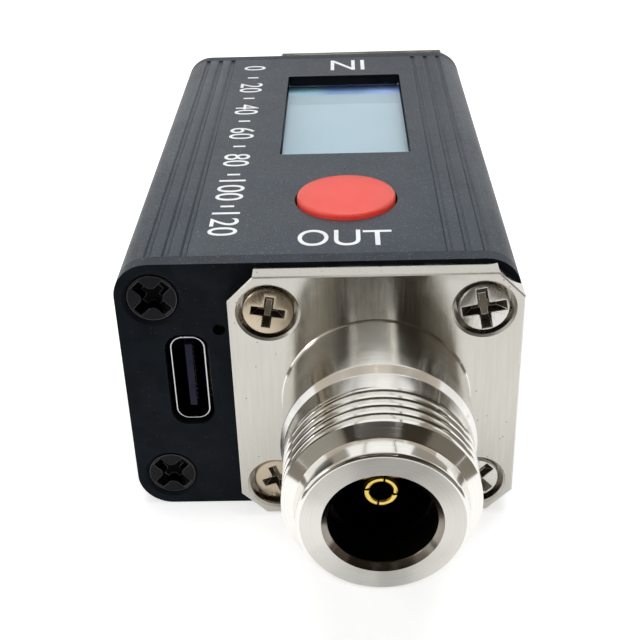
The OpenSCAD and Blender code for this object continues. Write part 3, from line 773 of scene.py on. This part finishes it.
shell_low, shell_high = box_of("usb_shell")
shell_middle = (shell_low + shell_high) / 2
shell_w = shell_high.x - shell_low.x
shell_h = shell_high.z - shell_low.z
lip = SHELL_SHEET / 2
shell_steps = [(0, shell_high.y)]
for step in range(LIP_STEPS + 1):
    swing = pi * step / LIP_STEPS
    shell_steps.append((lip - lip * cos(swing), shell_low.y + lip - lip * sin(swing)))
shell_steps.append((SHELL_SHEET, shell_high.y))
shell_shape = bmesh.new()
shell_loops = []
for inset, y in shell_steps:
    points = rounded_outline(shell_w - 2 * inset, shell_h - 2 * inset, SHELL_CORNER - inset)
    spots = [(shell_middle.x + x, y, shell_middle.z + z) for x, z in points]
    shell_loops.append([shell_shape.verts.new(spot) for spot in spots])
for step, (first, second) in enumerate(zip(shell_loops, shell_loops[1:] + shell_loops[:1])):
    skin(shell_shape, first, second, 1 if step > LIP_BRIGHT else 0)
shaded_steel = sheet_finish(
    "Steel in the shade", (0.012, 0.012, 0.012), (0.02, 0.02, 0.02), smooth=0.3, rough=0.4
)
port_black = plastic_finish(
    "Port moulding", (0.007, 0.007, 0.02), (0.014, 0.014, 0.036), smooth=0.2, rough=0.3, shine=0.12
)
gold_bore = sheet_finish("Gold in the shade", (0.05, 0.034, 0.012), (0.09, 0.06, 0.02), smooth=0.3, rough=0.4)
shell_mesh = finished("port_shell", shell_shape)
show("port_shell", shell_mesh, [bright_steel, shaded_steel], "housing", "tinplate", "usb_shell")
refine("port_tongue", "usb_tongue", [port_black], "black_moulding", TONGUE_EDGE)
dress(gold_bore, "usb_contacts")


# End plates: flat aluminium, punched for the socket, the screws, the charging port and its light, then
# anodised black, duller than the tube and with fewer bright grains. Their outlines match the tube's.
PLATE_EDGE = 0.15
PLATE_DARK = (0.0028, 0.0039, 0.0058)
PLATE_LIGHT = (0.005, 0.0066, 0.0095)
PLATE_GRAIN = (0.05, 0.055, 0.065)
RIM_DARK = (0.012, 0.0165, 0.024)
RIM_LIGHT = (0.019, 0.026, 0.036)
RIM_NEAR = 1.0
RIM_OUT = 12.5
SINK_SLOPE = (0.3, 0.95)


def on_rim(spot, facing):
    """Whether a face of a plate is on its outline."""
    from_middle = Vector((spot.x, 0, spot.z - case_top / 2))
    near_side = case_high.x - abs(from_middle.x) < RIM_NEAR
    near_top = case_top / 2 - abs(from_middle.z) < RIM_NEAR
    return abs(facing.y) < STEEP and facing.dot(from_middle) > RIM_OUT and (near_side or near_top)


def faces_tube(spot, facing):
    """Whether a face of a plate lies against the tube; it shows at the ends of the grooves."""
    inwards = -facing.y if spot.y > 0 else facing.y
    return inwards > STEEP


def on_countersink(spot, facing):
    """Whether a face of a plate is the slope that a screw's head sits in."""
    return SINK_SLOPE[0] < abs(facing.y) < SINK_SLOPE[1]


plate_black = anodised_finish(
    "Black anodised plate", PLATE_DARK, PLATE_LIGHT, PLATE_GRAIN,
    share=0.005, smooth=0.42, rough=0.55, shine=0.1,
)
plate_rim = anodised_finish(
    "Plate rim", RIM_DARK, RIM_LIGHT, CASE_SPARKLE, share=0.05, smooth=0.4, rough=0.52, shine=0.32
)
plate_finishes = [plate_black, plate_rim, painted_shade_black, edge_wear_and_light]
# Slot 2 darkens the countersinks as painted shade; slot 3 lightens the faces against the tube, which show at
# the groove ends, as painted light.
plate_repaints = [(1, on_rim), (3, faces_tube), (2, on_countersink)]
for node, name in (("front_end_plate", "front_plate"), ("rear_end_plate", "rear_plate")):
    refine(name, node, plate_finishes, "end_plate", PLATE_EDGE, plate_repaints)


# Sockets: turned and milled from brass bar in one piece with the square flange, then nickel-plated.
# The flange is satin with counterbored screw holes; barrel, thread and nose keep their lathe marks.
FLANGE_T = 2.1
FLANGE_CHAMFER = 2.3
FLANGE_EASE = 0.12
HOLE_IN = 3.45
HOLE_SIDES = 64
BORE_R = 2.6
BORE_EASE = 0.2
BORE_FLOOR = 0.8
SCREW_HOLE_R = 1.3
SPIGOT_R = 5.2
FOOT_EASE = 0.15
BARREL_R = 8.3
BARREL_END = 9.0
TAPER_END = 9.85
THREAD_R = 7.94
THREAD_PITCH = 1.058
THREAD_DEPTH = 0.649
THREAD_START = 11.7
THREAD_END = 16.382
THREAD_RUN_IN = 0.3
THREAD_RUN_OUT = 0.45
THREAD_ROOT = 0.06
THREAD_FLANK = 0.3
THREAD_STEPS = 16
CONE_END = 17.082
NOSE_R = 6.9
NOSE_TAPER = 0.14
NOSE_EASE = 0.3
MOUTH_R = 4.25
MOUTH_EASE = 0.5
MOUTH_DEPTH = 3.65
SOCKET_R = 4.0
SOCKET_DEPTH = 9.1
SEAT_R = 3.5
EDGE_HOLD = 0.04
EDGE_SHARE = 0.2
SATIN_DIM = (0.545, 0.525, 0.475)
SATIN_PALE = (0.58, 0.56, 0.51)
BRIGHT_DIM = (0.82, 0.805, 0.76)
BRIGHT_PALE = (0.9, 0.885, 0.845)
FACED_DIM = (0.75, 0.735, 0.69)
FACED_PALE = (0.84, 0.825, 0.78)
# Dim nickel for the mouth's chamfer and the counterbores' floors: painted shade.
LIP_DIM = (0.22, 0.195, 0.165)
LIP_PALE = (0.34, 0.31, 0.27)
# Near-black nickel for the bores, the socket's hollow and the screw holes: painted shade.
BORE_DIM = (0.02, 0.017, 0.014)
BORE_PALE = (0.04, 0.034, 0.028)
NICKEL_PIT = (0.12, 0.11, 0.10)

body_low, body_high = box_of("out_connector_body")
contact_low, contact_high = box_of("out_contact")
port_x = (contact_low.x + contact_high.x) / 2
port_z = (contact_low.z + contact_high.z) / 2
end_y = -box_of("front_end_plate")[0].y
nose_face = -body_low.y - end_y
spigot_back = -end_y - body_high.y
flange_half = (body_high.x - body_low.x) / 2
hole_at = flange_half - HOLE_IN

# Turned lines: fine rings round the port axis, on the barrel and on the faces across it.
turning, given = start_group("Turned lines", {"Axis x": 0.0, "Axis z": 0.0, "Scale": 6000.0})
parts = add_node(turning, "SeparateXYZ", {"Vector": object_spot(turning)}).outputs
squares = []
for way in ("X", "Z"):
    off_axis = calculate(turning, "SUBTRACT", parts[way], given["Axis " + way.lower()])
    squares.append(calculate(turning, "MULTIPLY", off_axis, off_axis))
out_from_axis = calculate(turning, "SQRT", calculate(turning, "ADD", *squares))
rings_at = add_node(turning, "CombineXYZ", {"X": out_from_axis, "Y": parts["Y"]}).outputs[0]
close_group(turning, Lines=noise(turning, rings_at, given["Scale"], detail=5.0))


def milled_lines(tree):
    """Faint upright streaks of the flange's milled face."""
    return place_group(tree, brushed, across=5200.0, along=260.0)["Lines"]


def lathe_lines(tree):
    """Rings left by the lathe tool."""
    return place_group(tree, turning, axis_x=port_x * MM, axis_z=port_z * MM, scale=15000.0)["Lines"]


def nickel_finish(name, dim, pale, smooth, rough, depth, pits=0.0, stretch=0.0, lines=lathe_lines):
    """Nickel plate over machined brass, with a share of dark pits; lines places the tool's marks, and
    stretch draws the gloss out across rings round the port axis."""
    material, tree = start_finish(name)
    marks = lines(tree)
    dots = place_group(tree, specks, scale=3800.0, share=pits, size=0.22)
    ground = blend_colours(tree, spread(tree, marks), dim, pale)
    return wire(
        material,
        Base_Color=blend_colours(tree, dots["Mask"], ground, NICKEL_PIT),
        Roughness=dulled(tree, marks, smooth, rough, scale=160.0, amount=0.07),
        Normal=relief(tree, marks, depth),
        Metallic=1.0,
        Anisotropic=stretch,
        Anisotropic_Rotation=0.25,
        Tangent=add_node(tree, "Tangent", direction_type="RADIAL", axis="Y").outputs[0],
    )


def fill(shape, loops, material=0):
    """Fills the flat face between an outer loop and the holes in it."""
    sides = []
    for loop in loops:
        for pair in zip(loop[-1:] + loop, loop):
            sides.append(shape.edges.get(pair) or shape.edges.new(pair))
    made = bmesh.ops.triangle_fill(shape, edges=sides, use_beauty=True)
    for face in made["geom"]:
        if isinstance(face, bmesh.types.BMFace):
            face.material_index = material


def flange_loop(shape, inset, height):
    """The flange's square outline with cut corners, set in by an even margin."""
    far = flange_half - inset
    near = flange_half - FLANGE_CHAMFER + inset - inset * sqrt(2)
    points = [(far, near), (near, far), (-near, far), (-far, near)]
    return level_loop(shape, points + [(-x, -y) for x, y in points], height)


def bands(shape, outline, first, material):
    """Skins a run of turned (radius, height) points, starting from a ring that is there already."""
    for radius, height in outline:
        following = ring(shape, radius, height)
        skin(shape, first, following, material)
        first = following
    return first


def crisp(outline):
    """Cuts each corner of an outline a little and holds it on both sides, to keep the shading close by."""
    run = [outline[0]]
    for before, corner, after in zip(outline, outline[1:], outline[2:]):
        for aim, share in ((before, 2), (before, 1), (after, 1), (after, 2)):
            way = Vector(aim) - Vector(corner)
            step = share * min(EDGE_HOLD, EDGE_SHARE * way.length)
            run.append(tuple(Vector(corner) + step * way.normalized()))
    return [*run, outline[-1]]


def thread_depth_at(share):
    """How deep the thread is cut, from 0 to 1, at a share of one pitch; the corners are softened."""
    slope = (abs(share - 0.5) - THREAD_ROOT) / THREAD_FLANK
    clipped = min(max(slope, 0.0), 1.0)
    return 1 - clipped * clipped * (3 - 2 * clipped)


def thread_band(shape, material):
    """A right-hand helical thread that runs out at both ends into the plain diameter."""
    rows = int((THREAD_END - THREAD_START) / THREAD_PITCH + 2) * THREAD_STEPS
    columns = []
    for i in range(SIDES):
        turn = 2 * pi * i / SIDES
        column = []
        for row in range(rows + THREAD_STEPS + 1):
            height = THREAD_START + THREAD_PITCH * (row / THREAD_STEPS - 1 + i / SIDES)
            height = min(max(height, THREAD_START), THREAD_END)
            run_in = (height - THREAD_START) / THREAD_RUN_IN
            run_out = (THREAD_END - height) / THREAD_RUN_OUT
            cut = THREAD_DEPTH * thread_depth_at(row % THREAD_STEPS / THREAD_STEPS) * min(run_in, run_out, 1)
            radius = THREAD_R - cut
            column.append(shape.verts.new((radius * cos(turn), radius * sin(turn), height)))
        columns.append(column)
    for i in range(SIDES):
        column = columns[i]
        following = columns[(i + 1) % SIDES]
        shift = THREAD_STEPS if i == SIDES - 1 else 0
        for row in range(rows):
            across = row + shift
            corners = (column[row], following[across], following[across + 1], column[row + 1])
            shape.faces.new(corners).material_index = material


def socket_shape():
    """One socket body, standing on the plate's face with its axis along +Z."""
    shape = bmesh.new()
    # The lip and bore finishes are dark nickel that stands for shade: painted shade.
    satin, lathe, faced, lip, bore, drum = range(6)
    back = flange_loop(shape, 0, 0)
    side = flange_loop(shape, 0, FLANGE_T - FLANGE_EASE)
    front = flange_loop(shape, FLANGE_EASE, FLANGE_T)
    skin(shape, back, side, satin)
    skin(shape, side, front, faced)
    front_loops = [front]
    back_loops = [back]
    for x, y in ((hole_at, hole_at), (-hole_at, hole_at), (-hole_at, -hole_at), (hole_at, -hole_at)):
        steps = (
            (BORE_R + BORE_EASE, FLANGE_T), (BORE_R, FLANGE_T - BORE_EASE), (BORE_R, BORE_FLOOR),
            (SCREW_HOLE_R, BORE_FLOOR), (SCREW_HOLE_R, 0),
        )
        circles = [ring(shape, radius, height, (x, y), HOLE_SIDES) for radius, height in steps]
        for first, second, finish in zip(circles, circles[1:], (faced, satin, lip, bore)):
            skin(shape, first, second, finish)
        front_loops.append(circles[0])
        back_loops.append(circles[-1])
    mouth_r = MOUTH_R + MOUTH_EASE
    barrel = crisp([
        (BARREL_R + FOOT_EASE, FLANGE_T), (BARREL_R, FLANGE_T + FOOT_EASE), (BARREL_R, BARREL_END),
        (THREAD_R, TAPER_END), (THREAD_R, THREAD_START),
    ])
    tip_r = NOSE_R - NOSE_TAPER
    nose = [
        *crisp([(THREAD_R, THREAD_END), (NOSE_R, CONE_END), (tip_r, nose_face - NOSE_EASE - EDGE_HOLD)]),
        *arc((tip_r - NOSE_EASE, nose_face - NOSE_EASE), NOSE_EASE, 0, 90),
        (tip_r - NOSE_EASE - EDGE_HOLD, nose_face),
    ]
    hollow = [
        (MOUTH_R, nose_face - MOUTH_DEPTH), (SOCKET_R, nose_face - MOUTH_DEPTH),
        (SOCKET_R, nose_face - SOCKET_DEPTH), (SEAT_R, nose_face - SOCKET_DEPTH), (SEAT_R, spigot_back),
        (SPIGOT_R, spigot_back), (SPIGOT_R, 0),
    ]
    foot = ring(shape, *barrel[0])
    front_loops.append(foot)
    bands(shape, barrel[1:], foot, drum)
    thread_band(shape, lathe)
    last = bands(shape, nose[1:], ring(shape, *nose[0]), lathe)
    last = bands(shape, [(mouth_r, nose_face)], last, faced)
    mouth = crisp([(mouth_r, nose_face), (MOUTH_R, nose_face - MOUTH_EASE), hollow[0]])
    last = bands(shape, mouth[1:-1], last, lip)
    back_loops.append(bands(shape, hollow, last, bore))
    fill(shape, front_loops, satin)
    fill(shape, back_loops, satin)
    bmesh.ops.remove_doubles(shape, verts=shape.verts, dist=WELD)
    return shape


def at_end(x, z, far=False):
    """Places a shape that stands on +Z on an end plate's face, pointing outwards."""
    upright = Matrix.Rotation(radians(90), 4, "X")
    if far:
        return Matrix.Translation((x, end_y, z)) @ Matrix.Rotation(pi, 4, "Z") @ upright
    return Matrix.Translation((x, -end_y, z)) @ upright


socket_finishes = [
    nickel_finish(
        "Satin nickel flange", SATIN_DIM, SATIN_PALE,
        smooth=0.1, rough=0.14, depth=0.0002, pits=0.03, lines=milled_lines,
    ),
    nickel_finish(
        "Turned nickel barrel", BRIGHT_DIM, BRIGHT_PALE,
        smooth=0.06, rough=0.11, depth=0.0005, pits=0.004, stretch=0.6,
    ),
    nickel_finish(
        "Faced nickel", FACED_DIM, FACED_PALE,
        smooth=0.4, rough=0.48, depth=0.0001, pits=0.004, stretch=0.9,
    ),
    nickel_finish("Nickel edges in painted shade", LIP_DIM, LIP_PALE, smooth=0.08, rough=0.14, depth=0.0005),
    nickel_finish("Bores in painted shade", BORE_DIM, BORE_PALE, smooth=0.3, rough=0.45, depth=0.001),
    nickel_finish(
        "Drawn-out nickel drum", BRIGHT_DIM, BRIGHT_PALE,
        smooth=0.12, rough=0.17, depth=0.0004, pits=0.004, stretch=0.9,
    ),
]
ENDS = (("out", False), ("in", True))
for end, far in ENDS:
    socket = socket_shape()
    bmesh.ops.transform(socket, matrix=at_end(port_x, port_z, far), verts=socket.verts)
    socket_mesh = finished(end + "_socket", socket, angle=25)
    show(end + "_socket", socket_mesh, socket_finishes, "housing", "nickel", end + "_connector_body")


# Insulators and centre contacts: a dark moulded bead pressed into each socket, and a gold-plated
# contact, slotted in four at its tip, whose pin is soldered to the main board.
LEAD_IN = 0.28
LEAD_IN_R = 0.9
ON_TIP = 0.01
CONTACT_EDGE = 0.05
TOWARDS_AXIS = 0.6


def faces_axis(spot, facing):
    """Whether a face looks towards the port's axis, as the inside of a bore does."""
    return facing.x * (spot.x - port_x) + facing.z * (spot.z - port_z) < -TOWARDS_AXIS


def contact_shape(node, tip_y):
    """A contact with the inner edge of its tip rounded, where the other half's pin is led in."""
    shape = bmesh.new()
    shape.from_mesh(solid_mesh(node))

    def on_edge(corner):
        off_axis = Vector((corner.co.x / MM - port_x, corner.co.z / MM - port_z)).length
        return abs(corner.co.y / MM - tip_y) < ON_TIP and off_axis < LEAD_IN_R

    rim = [edge for edge in shape.edges if all(map(on_edge, edge.verts))]
    bmesh.ops.bevel(
        shape, geom=rim, offset=LEAD_IN * MM, segments=4, profile=0.5, affect="EDGES", clamp_overlap=True
    )
    return mesh_from(node, shape)


dark_bead = plastic_finish(
    "Dark insulator", (0.008, 0.006, 0.005), (0.015, 0.011, 0.009), smooth=0.4, rough=0.55
)
gold_plate = sheet_finish("Gold plate", (0.72, 0.50, 0.11), (0.88, 0.66, 0.18), smooth=0.12, rough=0.2)
for end, far in ENDS:
    dress(dark_bead, end + "_insulator")
    contact_mesh = contact_shape(end + "_contact", contact_low.y * (-1 if far else 1))
    refine(
        end + "_centre_contact", end + "_contact", [gold_plate, gold_bore], "gold", CONTACT_EDGE,
        [(1, faces_axis)], contact_mesh,
    )


# Screws: black countersunk ones hold each end plate on the left, and flat nickel-plated ones hold each
# flange. All have cross recesses with tapered arms, stamped into their heads.
SHANK_R = 1.2
CHANNEL_REACH = 8.0
SHORT_REACH = 2.7
SINK_BELOW = 0.2
SINK_HEAD_R = 2.28
SINK_EASE = ((0.02, 0.06), (0.1, 0))
HEAD_R = 2.25
HEAD_H = 1.2
HEAD_EASE = 0.18
HEAD_ROUND = (0.7, 0.03)
CORNER_SUNK = 0.3
INNER_SUNK = 0.65
SCREW_SIDES = 64
CROSS_DEPTH = 0.9
CROSS_ABOVE = 0.08
CROSS_TOP = (1.04, 1.04)
CROSS_FOOT = (0.55, 0.72)
CROSS_EASE = 0.05
CROSS_CLEAR = 0.01
# A recess is the reach of its arms, their width, and the radius of the metal between two of them.
PLATE_CROSS = (1.95, 0.95, 0.6)
CORNER_CROSS = (1.95, 0.9, 0.25)
INNER_CROSS = (1.5, 0.76, 0.1)


def cross_outline(reach, width, petal):
    """A cross with four arms; petal is the radius of the rounded metal left between two arms."""
    half = width / 2
    points = []
    for quarter in range(4):
        swing = Matrix.Rotation(pi / 2 * quarter, 2)
        corner = [(reach, half), *arc((half + petal, half + petal), petal, 270, 180, 5), (half, reach)]
        points += [swing @ Vector(point) for point in corner]
    return points


def cross_cutter(cross):
    """The recess's negative: full size just above z = 0, narrower and shorter at its foot."""
    shape = bmesh.new()
    loops = []
    for (along, across), height in ((CROSS_TOP, CROSS_ABOVE), (CROSS_FOOT, -CROSS_DEPTH)):
        outline = cross_outline(cross[0] * along, cross[1] * across, cross[2] * along)
        loops.append(level_loop(shape, outline, height))
    skin(shape, *loops)
    for loop in loops:
        shape.faces.new(loop)
    return shape


def carve(shape, cutter):
    """Cuts one bmesh out of another with an exact boolean and returns the result."""
    holders = []
    for part in (shape, cutter):
        bmesh.ops.recalc_face_normals(part, faces=part.faces)
        holders.append(add_object("carving", mesh_from("carving", part)))
    cut = holders[0].modifiers.new("cut", "BOOLEAN")
    cut.operation = "DIFFERENCE"
    cut.solver = "EXACT"
    cut.object = holders[1]
    result = bmesh.new()
    result.from_mesh(evaluated(holders[0]).to_mesh())
    for holder in holders:
        bpy.data.objects.remove(holder)
    return result


def cross_headed(outline, top, cross):
    """A turned screw with a cross recess stamped into its head, whose face is at the given height."""
    cutter = cross_cutter(cross)
    bmesh.ops.translate(cutter, vec=(0, 0, top), verts=cutter.verts)
    screw = carve(turned(outline, SCREW_SIDES), cutter)
    # Faces inside the recess take slot 1, a darker finish: painted shade.
    for face in screw.faces:
        spot = face.calc_center_median()
        down = top - spot.z
        if spot.xy.length < cross[0] and CROSS_CLEAR < down < CROSS_DEPTH + CROSS_CLEAR:
            face.material_index = 1
    return screw


def plate_screw(sunk):
    """Countersunk, its head a little below the plate's face."""
    top = -SINK_BELOW - sunk
    outline = [
        (0, -CHANNEL_REACH), (SHANK_R, -CHANNEL_REACH), (SHANK_R, top - SINK_HEAD_R + SHANK_R),
        *[(SINK_HEAD_R - inset, top - down) for inset, down in SINK_EASE], (0, top),
    ]
    return cross_headed(outline, top, PLATE_CROSS)


def flange_screw(reach, cross, sunk):
    """Flat-headed, its head seated in the flange's counterbore; sunk lowers the head's face."""
    top = BORE_FLOOR + HEAD_H - sunk
    inset, down = HEAD_ROUND
    outline = [
        (0, -reach), (SHANK_R, -reach), (SHANK_R, BORE_FLOOR), (HEAD_R, BORE_FLOOR),
        (HEAD_R, top - HEAD_EASE), (HEAD_R - HEAD_EASE * inset, top - down),
        (HEAD_R - HEAD_EASE, top), (0, top),
    ]
    return cross_headed(outline, top, cross)


def corner_screw(sunk):
    """Long, through the plate into the tube's corner."""
    return flange_screw(CHANNEL_REACH, CORNER_CROSS, sunk)


def inner_screw(sunk):
    """Short, held by the plate."""
    return flange_screw(SHORT_REACH, INNER_CROSS, sunk)


def show_screws(name, make, places, materials, slot, node):
    """One piece of like screws: the same places at both ends, each turned and sunk by its own amount."""
    whole = bmesh.new()
    for end, far in ENDS:
        for x, z, turn, sunk in places:
            add_shape(whole, make(sunk), at_end(x, z, far) @ Matrix.Rotation(radians(turn), 4, "Z"))
    piece = show(name, finished(name, whole, angle=30), materials, "housing", slot, node)
    # The rounding takes slot 2, on the black screws a lighter edge: partly wear, partly painted highlight.
    ease_edges(piece, CROSS_EASE, worn=2, angle=30, clamped=False)


black_oxide = sheet_finish(
    "Black oxide", (0.012, 0.012, 0.014), (0.022, 0.022, 0.025), smooth=0.28, rough=0.4
)
# Lighter rounding on the black screws: partly rubbed wear, partly painted highlight.
oxide_edge_wear_and_sheen = sheet_finish(
    "Rubbed oxide edge with painted highlight", (0.05, 0.05, 0.05), (0.085, 0.085, 0.085), smooth=0.25, rough=0.35
)
# Near black inside the black screws' recesses: painted shade.
oxide_recess_shade = sheet_finish(
    "Black oxide recess in painted shade", (0.003, 0.003, 0.0035), (0.006, 0.006, 0.007), smooth=0.35, rough=0.5
)
screw_nickel = sheet_finish("Screw plating", (0.62, 0.60, 0.56), (0.74, 0.72, 0.68), smooth=0.2, rough=0.32)
beige_nickel = sheet_finish(
    "Yellowed plating", (0.52, 0.44, 0.33), (0.64, 0.55, 0.42), smooth=0.2, rough=0.32
)
# Dark inside the plated screws' recesses: painted shade.
nickel_recess_shade = sheet_finish(
    "Nickel recess in painted shade", (0.10, 0.085, 0.065), (0.2, 0.175, 0.14), smooth=0.25, rough=0.4
)
screw_low, screw_high = box_of("plate_screws")
left_x = (screw_low.x + screw_high.x) / 2
left_in = screw_low.z + (screw_high.x - screw_low.x) / 2
low_z = port_z - hole_at
high_z = port_z + hole_at
# Each screw has its place across the end, its turn in degrees, and how deep its head is sunk.
left_screws = [(left_x, left_in, 45, 0), (left_x, case_top - left_in, 45, 0)]
corner_screws = [(port_x + hole_at, low_z, 45, CORNER_SUNK), (port_x + hole_at, high_z, 10, 0)]
inner_screws = [(port_x - hole_at, low_z, 20, INNER_SUNK), (port_x - hole_at, high_z, -10, 0)]
show_screws(
    "plate_screws_black", plate_screw, left_screws, [black_oxide, oxide_recess_shade, oxide_edge_wear_and_sheen], "black_screw",
    "plate_screws",
)
show_screws(
    "corner_screws_silver", corner_screw, corner_screws, [screw_nickel, nickel_recess_shade, screw_nickel],
    "silver_screw", "corner_screws",
)
show_screws(
    "flange_screws_silver", inner_screw, inner_screws, [beige_nickel, nickel_recess_shade, beige_nickel],
    "silver_screw", "flange_screws",
)
dress(screw_nickel, "spacer_screws")


# Studio: a plain pale floor that keeps the meter's shadow, a white surround, and three soft lamps.
# Cards stand round it, out of sight, and give the polished metal something dark and something bright to
# reflect: a white gap behind it, and a narrow one in front with a bright edge on each side.
FLOOR_HALF = 1.5
FLOOR_BELOW = 0.05
FLOOR_WHITE = (0.88, 0.88, 0.88)
FLOOR_PALE = (0.9, 0.9, 0.9)
FLOOR_SEEN = 0.27
FLOOR_FAR = 0.75
FLOOR_FILL = 0.2
FLOOR_RISE = (0.3, 1.2)
SURROUND = 0.36
CARD_DARK = (0.05, 0.041, 0.031)
CARD_DIM = (0.2, 0.18, 0.15)
CARD_MID = (0.36, 0.335, 0.29)
CARD_ABOVE = (0.62, 0.56, 0.47)
CARD_WHITE = (0.9, 0.9, 0.9)
CARD_CLOSE = (0.134, 0.134)
CARD_NEAR = (0.25, 0.25)
CARD_FAR = (0.5, 0.5)
CARD_FLOOR = (0.085, 0.25)
CARD_ROWS = 6
CARD_COLUMNS = 12


def seen_directly(tree):
    """1 for what the camera sees, also in a mirror or through a pane, 0 for light that falls on things."""
    rays = add_node(tree, "LightPath").outputs
    mirrored = calculate(tree, "MAXIMUM", rays["Is Camera Ray"], rays["Is Glossy Ray"])
    return calculate(tree, "MAXIMUM", mirrored, rays["Is Transmission Ray"])


def floor_finish():
    """Pale paper. Seen directly or in a reflection it is a little brighter, more so far away, and the
    camera sees it lifted once more; its shadows are kept."""
    material, tree = start_finish("Pale paper")
    grain = place_group(tree, fine_grain, scale=900.0)
    away = add_node(tree, "VectorMath", {0: object_spot(tree)}, operation="LENGTH").outputs["Value"]
    lift = ease(tree, away, *FLOOR_RISE, FLOOR_SEEN, FLOOR_FAR)
    in_view = add_node(tree, "LightPath").outputs["Is Camera Ray"]
    glow = calculate(tree, "MULTIPLY", seen_directly(tree), lift)
    return wire(
        material,
        Base_Color=blend_colours(tree, grain["Mottle"], FLOOR_WHITE, FLOOR_PALE),
        Roughness=0.9,
        Specular_IOR_Level=0.1,
        Emission_Color=(1, 1, 1, 1),
        Emission_Strength=calculate(tree, "ADD", glow, calculate(tree, "MULTIPLY", in_view, FLOOR_FILL)),
    )


def stage_piece(name, shape, material):
    """Makes a bmesh, drawn in metres, into a piece of the studio."""
    piece = add_object(name, mesh_from(name, shape))
    piece.data.materials.append(material)
    return piece


def card(name, colour, away, turn, rise, arch=0.0, glow=0.0):
    """A curved card round the meter between two bearings from -Y and two heights, in degrees. Its lower and
    its upper edge each have their own distance; arch lowers the upper corners, glow lights the card."""
    material, tree = start_finish(name)
    grain = place_group(tree, fine_grain, scale=200.0)
    wire(
        material,
        Base_Color=blend_colours(tree, grain["Mottle"], colour, tuple(1.2 * part for part in colour)),
        Roughness=0.9,
        Specular_IOR_Level=0.0,
        Emission_Color=(1, 1, 1, 1),
        Emission_Strength=glow,
    )
    shape = bmesh.new()
    rows = []
    for j in range(CARD_ROWS + 1):
        reach = away[0] + (away[1] - away[0]) * j / CARD_ROWS
        row = []
        for i in range(CARD_COLUMNS + 1):
            drop = arch * (2 * i / CARD_COLUMNS - 1) ** 2
            up = radians(rise[0] + (rise[1] - rise[0] - drop) * j / CARD_ROWS)
            bearing = radians(turn[0] + (turn[1] - turn[0]) * i / CARD_COLUMNS)
            spot = Vector((sin(bearing) * cos(up), -cos(bearing) * cos(up), sin(up)))
            row.append(shape.verts.new(reach * spot))
        rows.append(row)
    for low, high in zip(rows, rows[1:]):
        for i in range(CARD_COLUMNS):
            shape.faces.new((low[i], low[i + 1], high[i + 1], high[i]))
    piece = stage_piece(name, shape, material)
    piece.visible_camera = False
    piece.visible_diffuse = False
    piece.visible_transmission = False
    piece.visible_shadow = False


def lamp(name, place, aim, size, power, mirrored=True):
    """A soft box that points at a spot; mirrored lets it show in polished metal."""
    data = bpy.data.lights.new(name, "AREA")
    data.shape = "RECTANGLE"
    data.size, data.size_y = size
    data.energy = power
    box = add_object(name, data)
    box.location = place
    box.rotation_mode = "QUATERNION"
    box.rotation_quaternion = (Vector(aim) - Vector(place)).to_track_quat("-Z", "Y")
    box.visible_camera = False
    box.visible_glossy = mirrored


floor_shape = bmesh.new()
bmesh.ops.create_grid(floor_shape, x_segments=8, y_segments=8, size=FLOOR_HALF)
bmesh.ops.translate(floor_shape, vec=(0, 0, -FLOOR_BELOW * MM), verts=floor_shape.verts)
stage_piece("floor", floor_shape, floor_finish())
card("card_front_left", CARD_DARK, CARD_NEAR, (-50, -16), (25, 75))
card("card_front_left_low", CARD_MID, CARD_NEAR, (-50, -16), (0.5, 25))
card("card_front_right", CARD_DARK, CARD_NEAR, (16, 85), (20, 75))
card("card_front_right_low", CARD_DIM, CARD_NEAR, (28, 85), (0.5, 20))
card("card_front_right_edge", CARD_DARK, CARD_NEAR, (16, 28), (0.5, 20))
card("card_front_low", CARD_DARK, CARD_CLOSE, (-16, 16), (0.5, 32), arch=3.8)
card("card_front_high", CARD_DARK, CARD_NEAR, (-16, 16), (36.5, 75))
card("card_front_floor", CARD_DIM, CARD_FLOOR, (-85, 85), (0.3, 0.1))
for side in (-1, 1):
    card("card_gap_edge", CARD_WHITE, CARD_NEAR, (16 * side, 12.5 * side), (27.5, 38), glow=1.6)
    card("card_back", CARD_MID, CARD_FAR, (148 * side, 125 * side), (0.5, 36))
    card("card_bar", CARD_DIM, CARD_FAR, (161 * side, 159 * side), (25, 58))
    card("card_side", CARD_ABOVE, CARD_FAR, (125 * side, 50 * side), (28, 58))
card("card_back_low", CARD_DIM, CARD_FAR, (170, 187), (0.5, 20.8))
card("card_above", CARD_ABOVE, CARD_FAR, (-180, 180), (58, 89))
lamp("soft box above", (0.05, 0.12, 0.7), aim=(0, 0, 0), size=(0.5, 0.5), power=2.85)
lamp("soft box in front", (0.05, -0.7, 0.3), aim=(0, 0, 0.01), size=(0.5, 0.5), power=1.2, mirrored=False)
lamp("soft box left", (-0.55, -0.25, 0.4), aim=(0, 0, 0.01), size=(0.4, 0.4), power=1.0)

world = bpy.context.scene.world or bpy.data.worlds.new("surround")
bpy.context.scene.world = world
world.use_nodes = True
sky = world.node_tree
sky.nodes["Background"].inputs["Color"].default_value = (1, 1, 1, 1)
feed(sky, sky.nodes["Background"].inputs["Strength"], between(sky, seen_directly(sky), SURROUND, 1.0))
bpy.context.scene.view_settings.view_transform = "Standard"
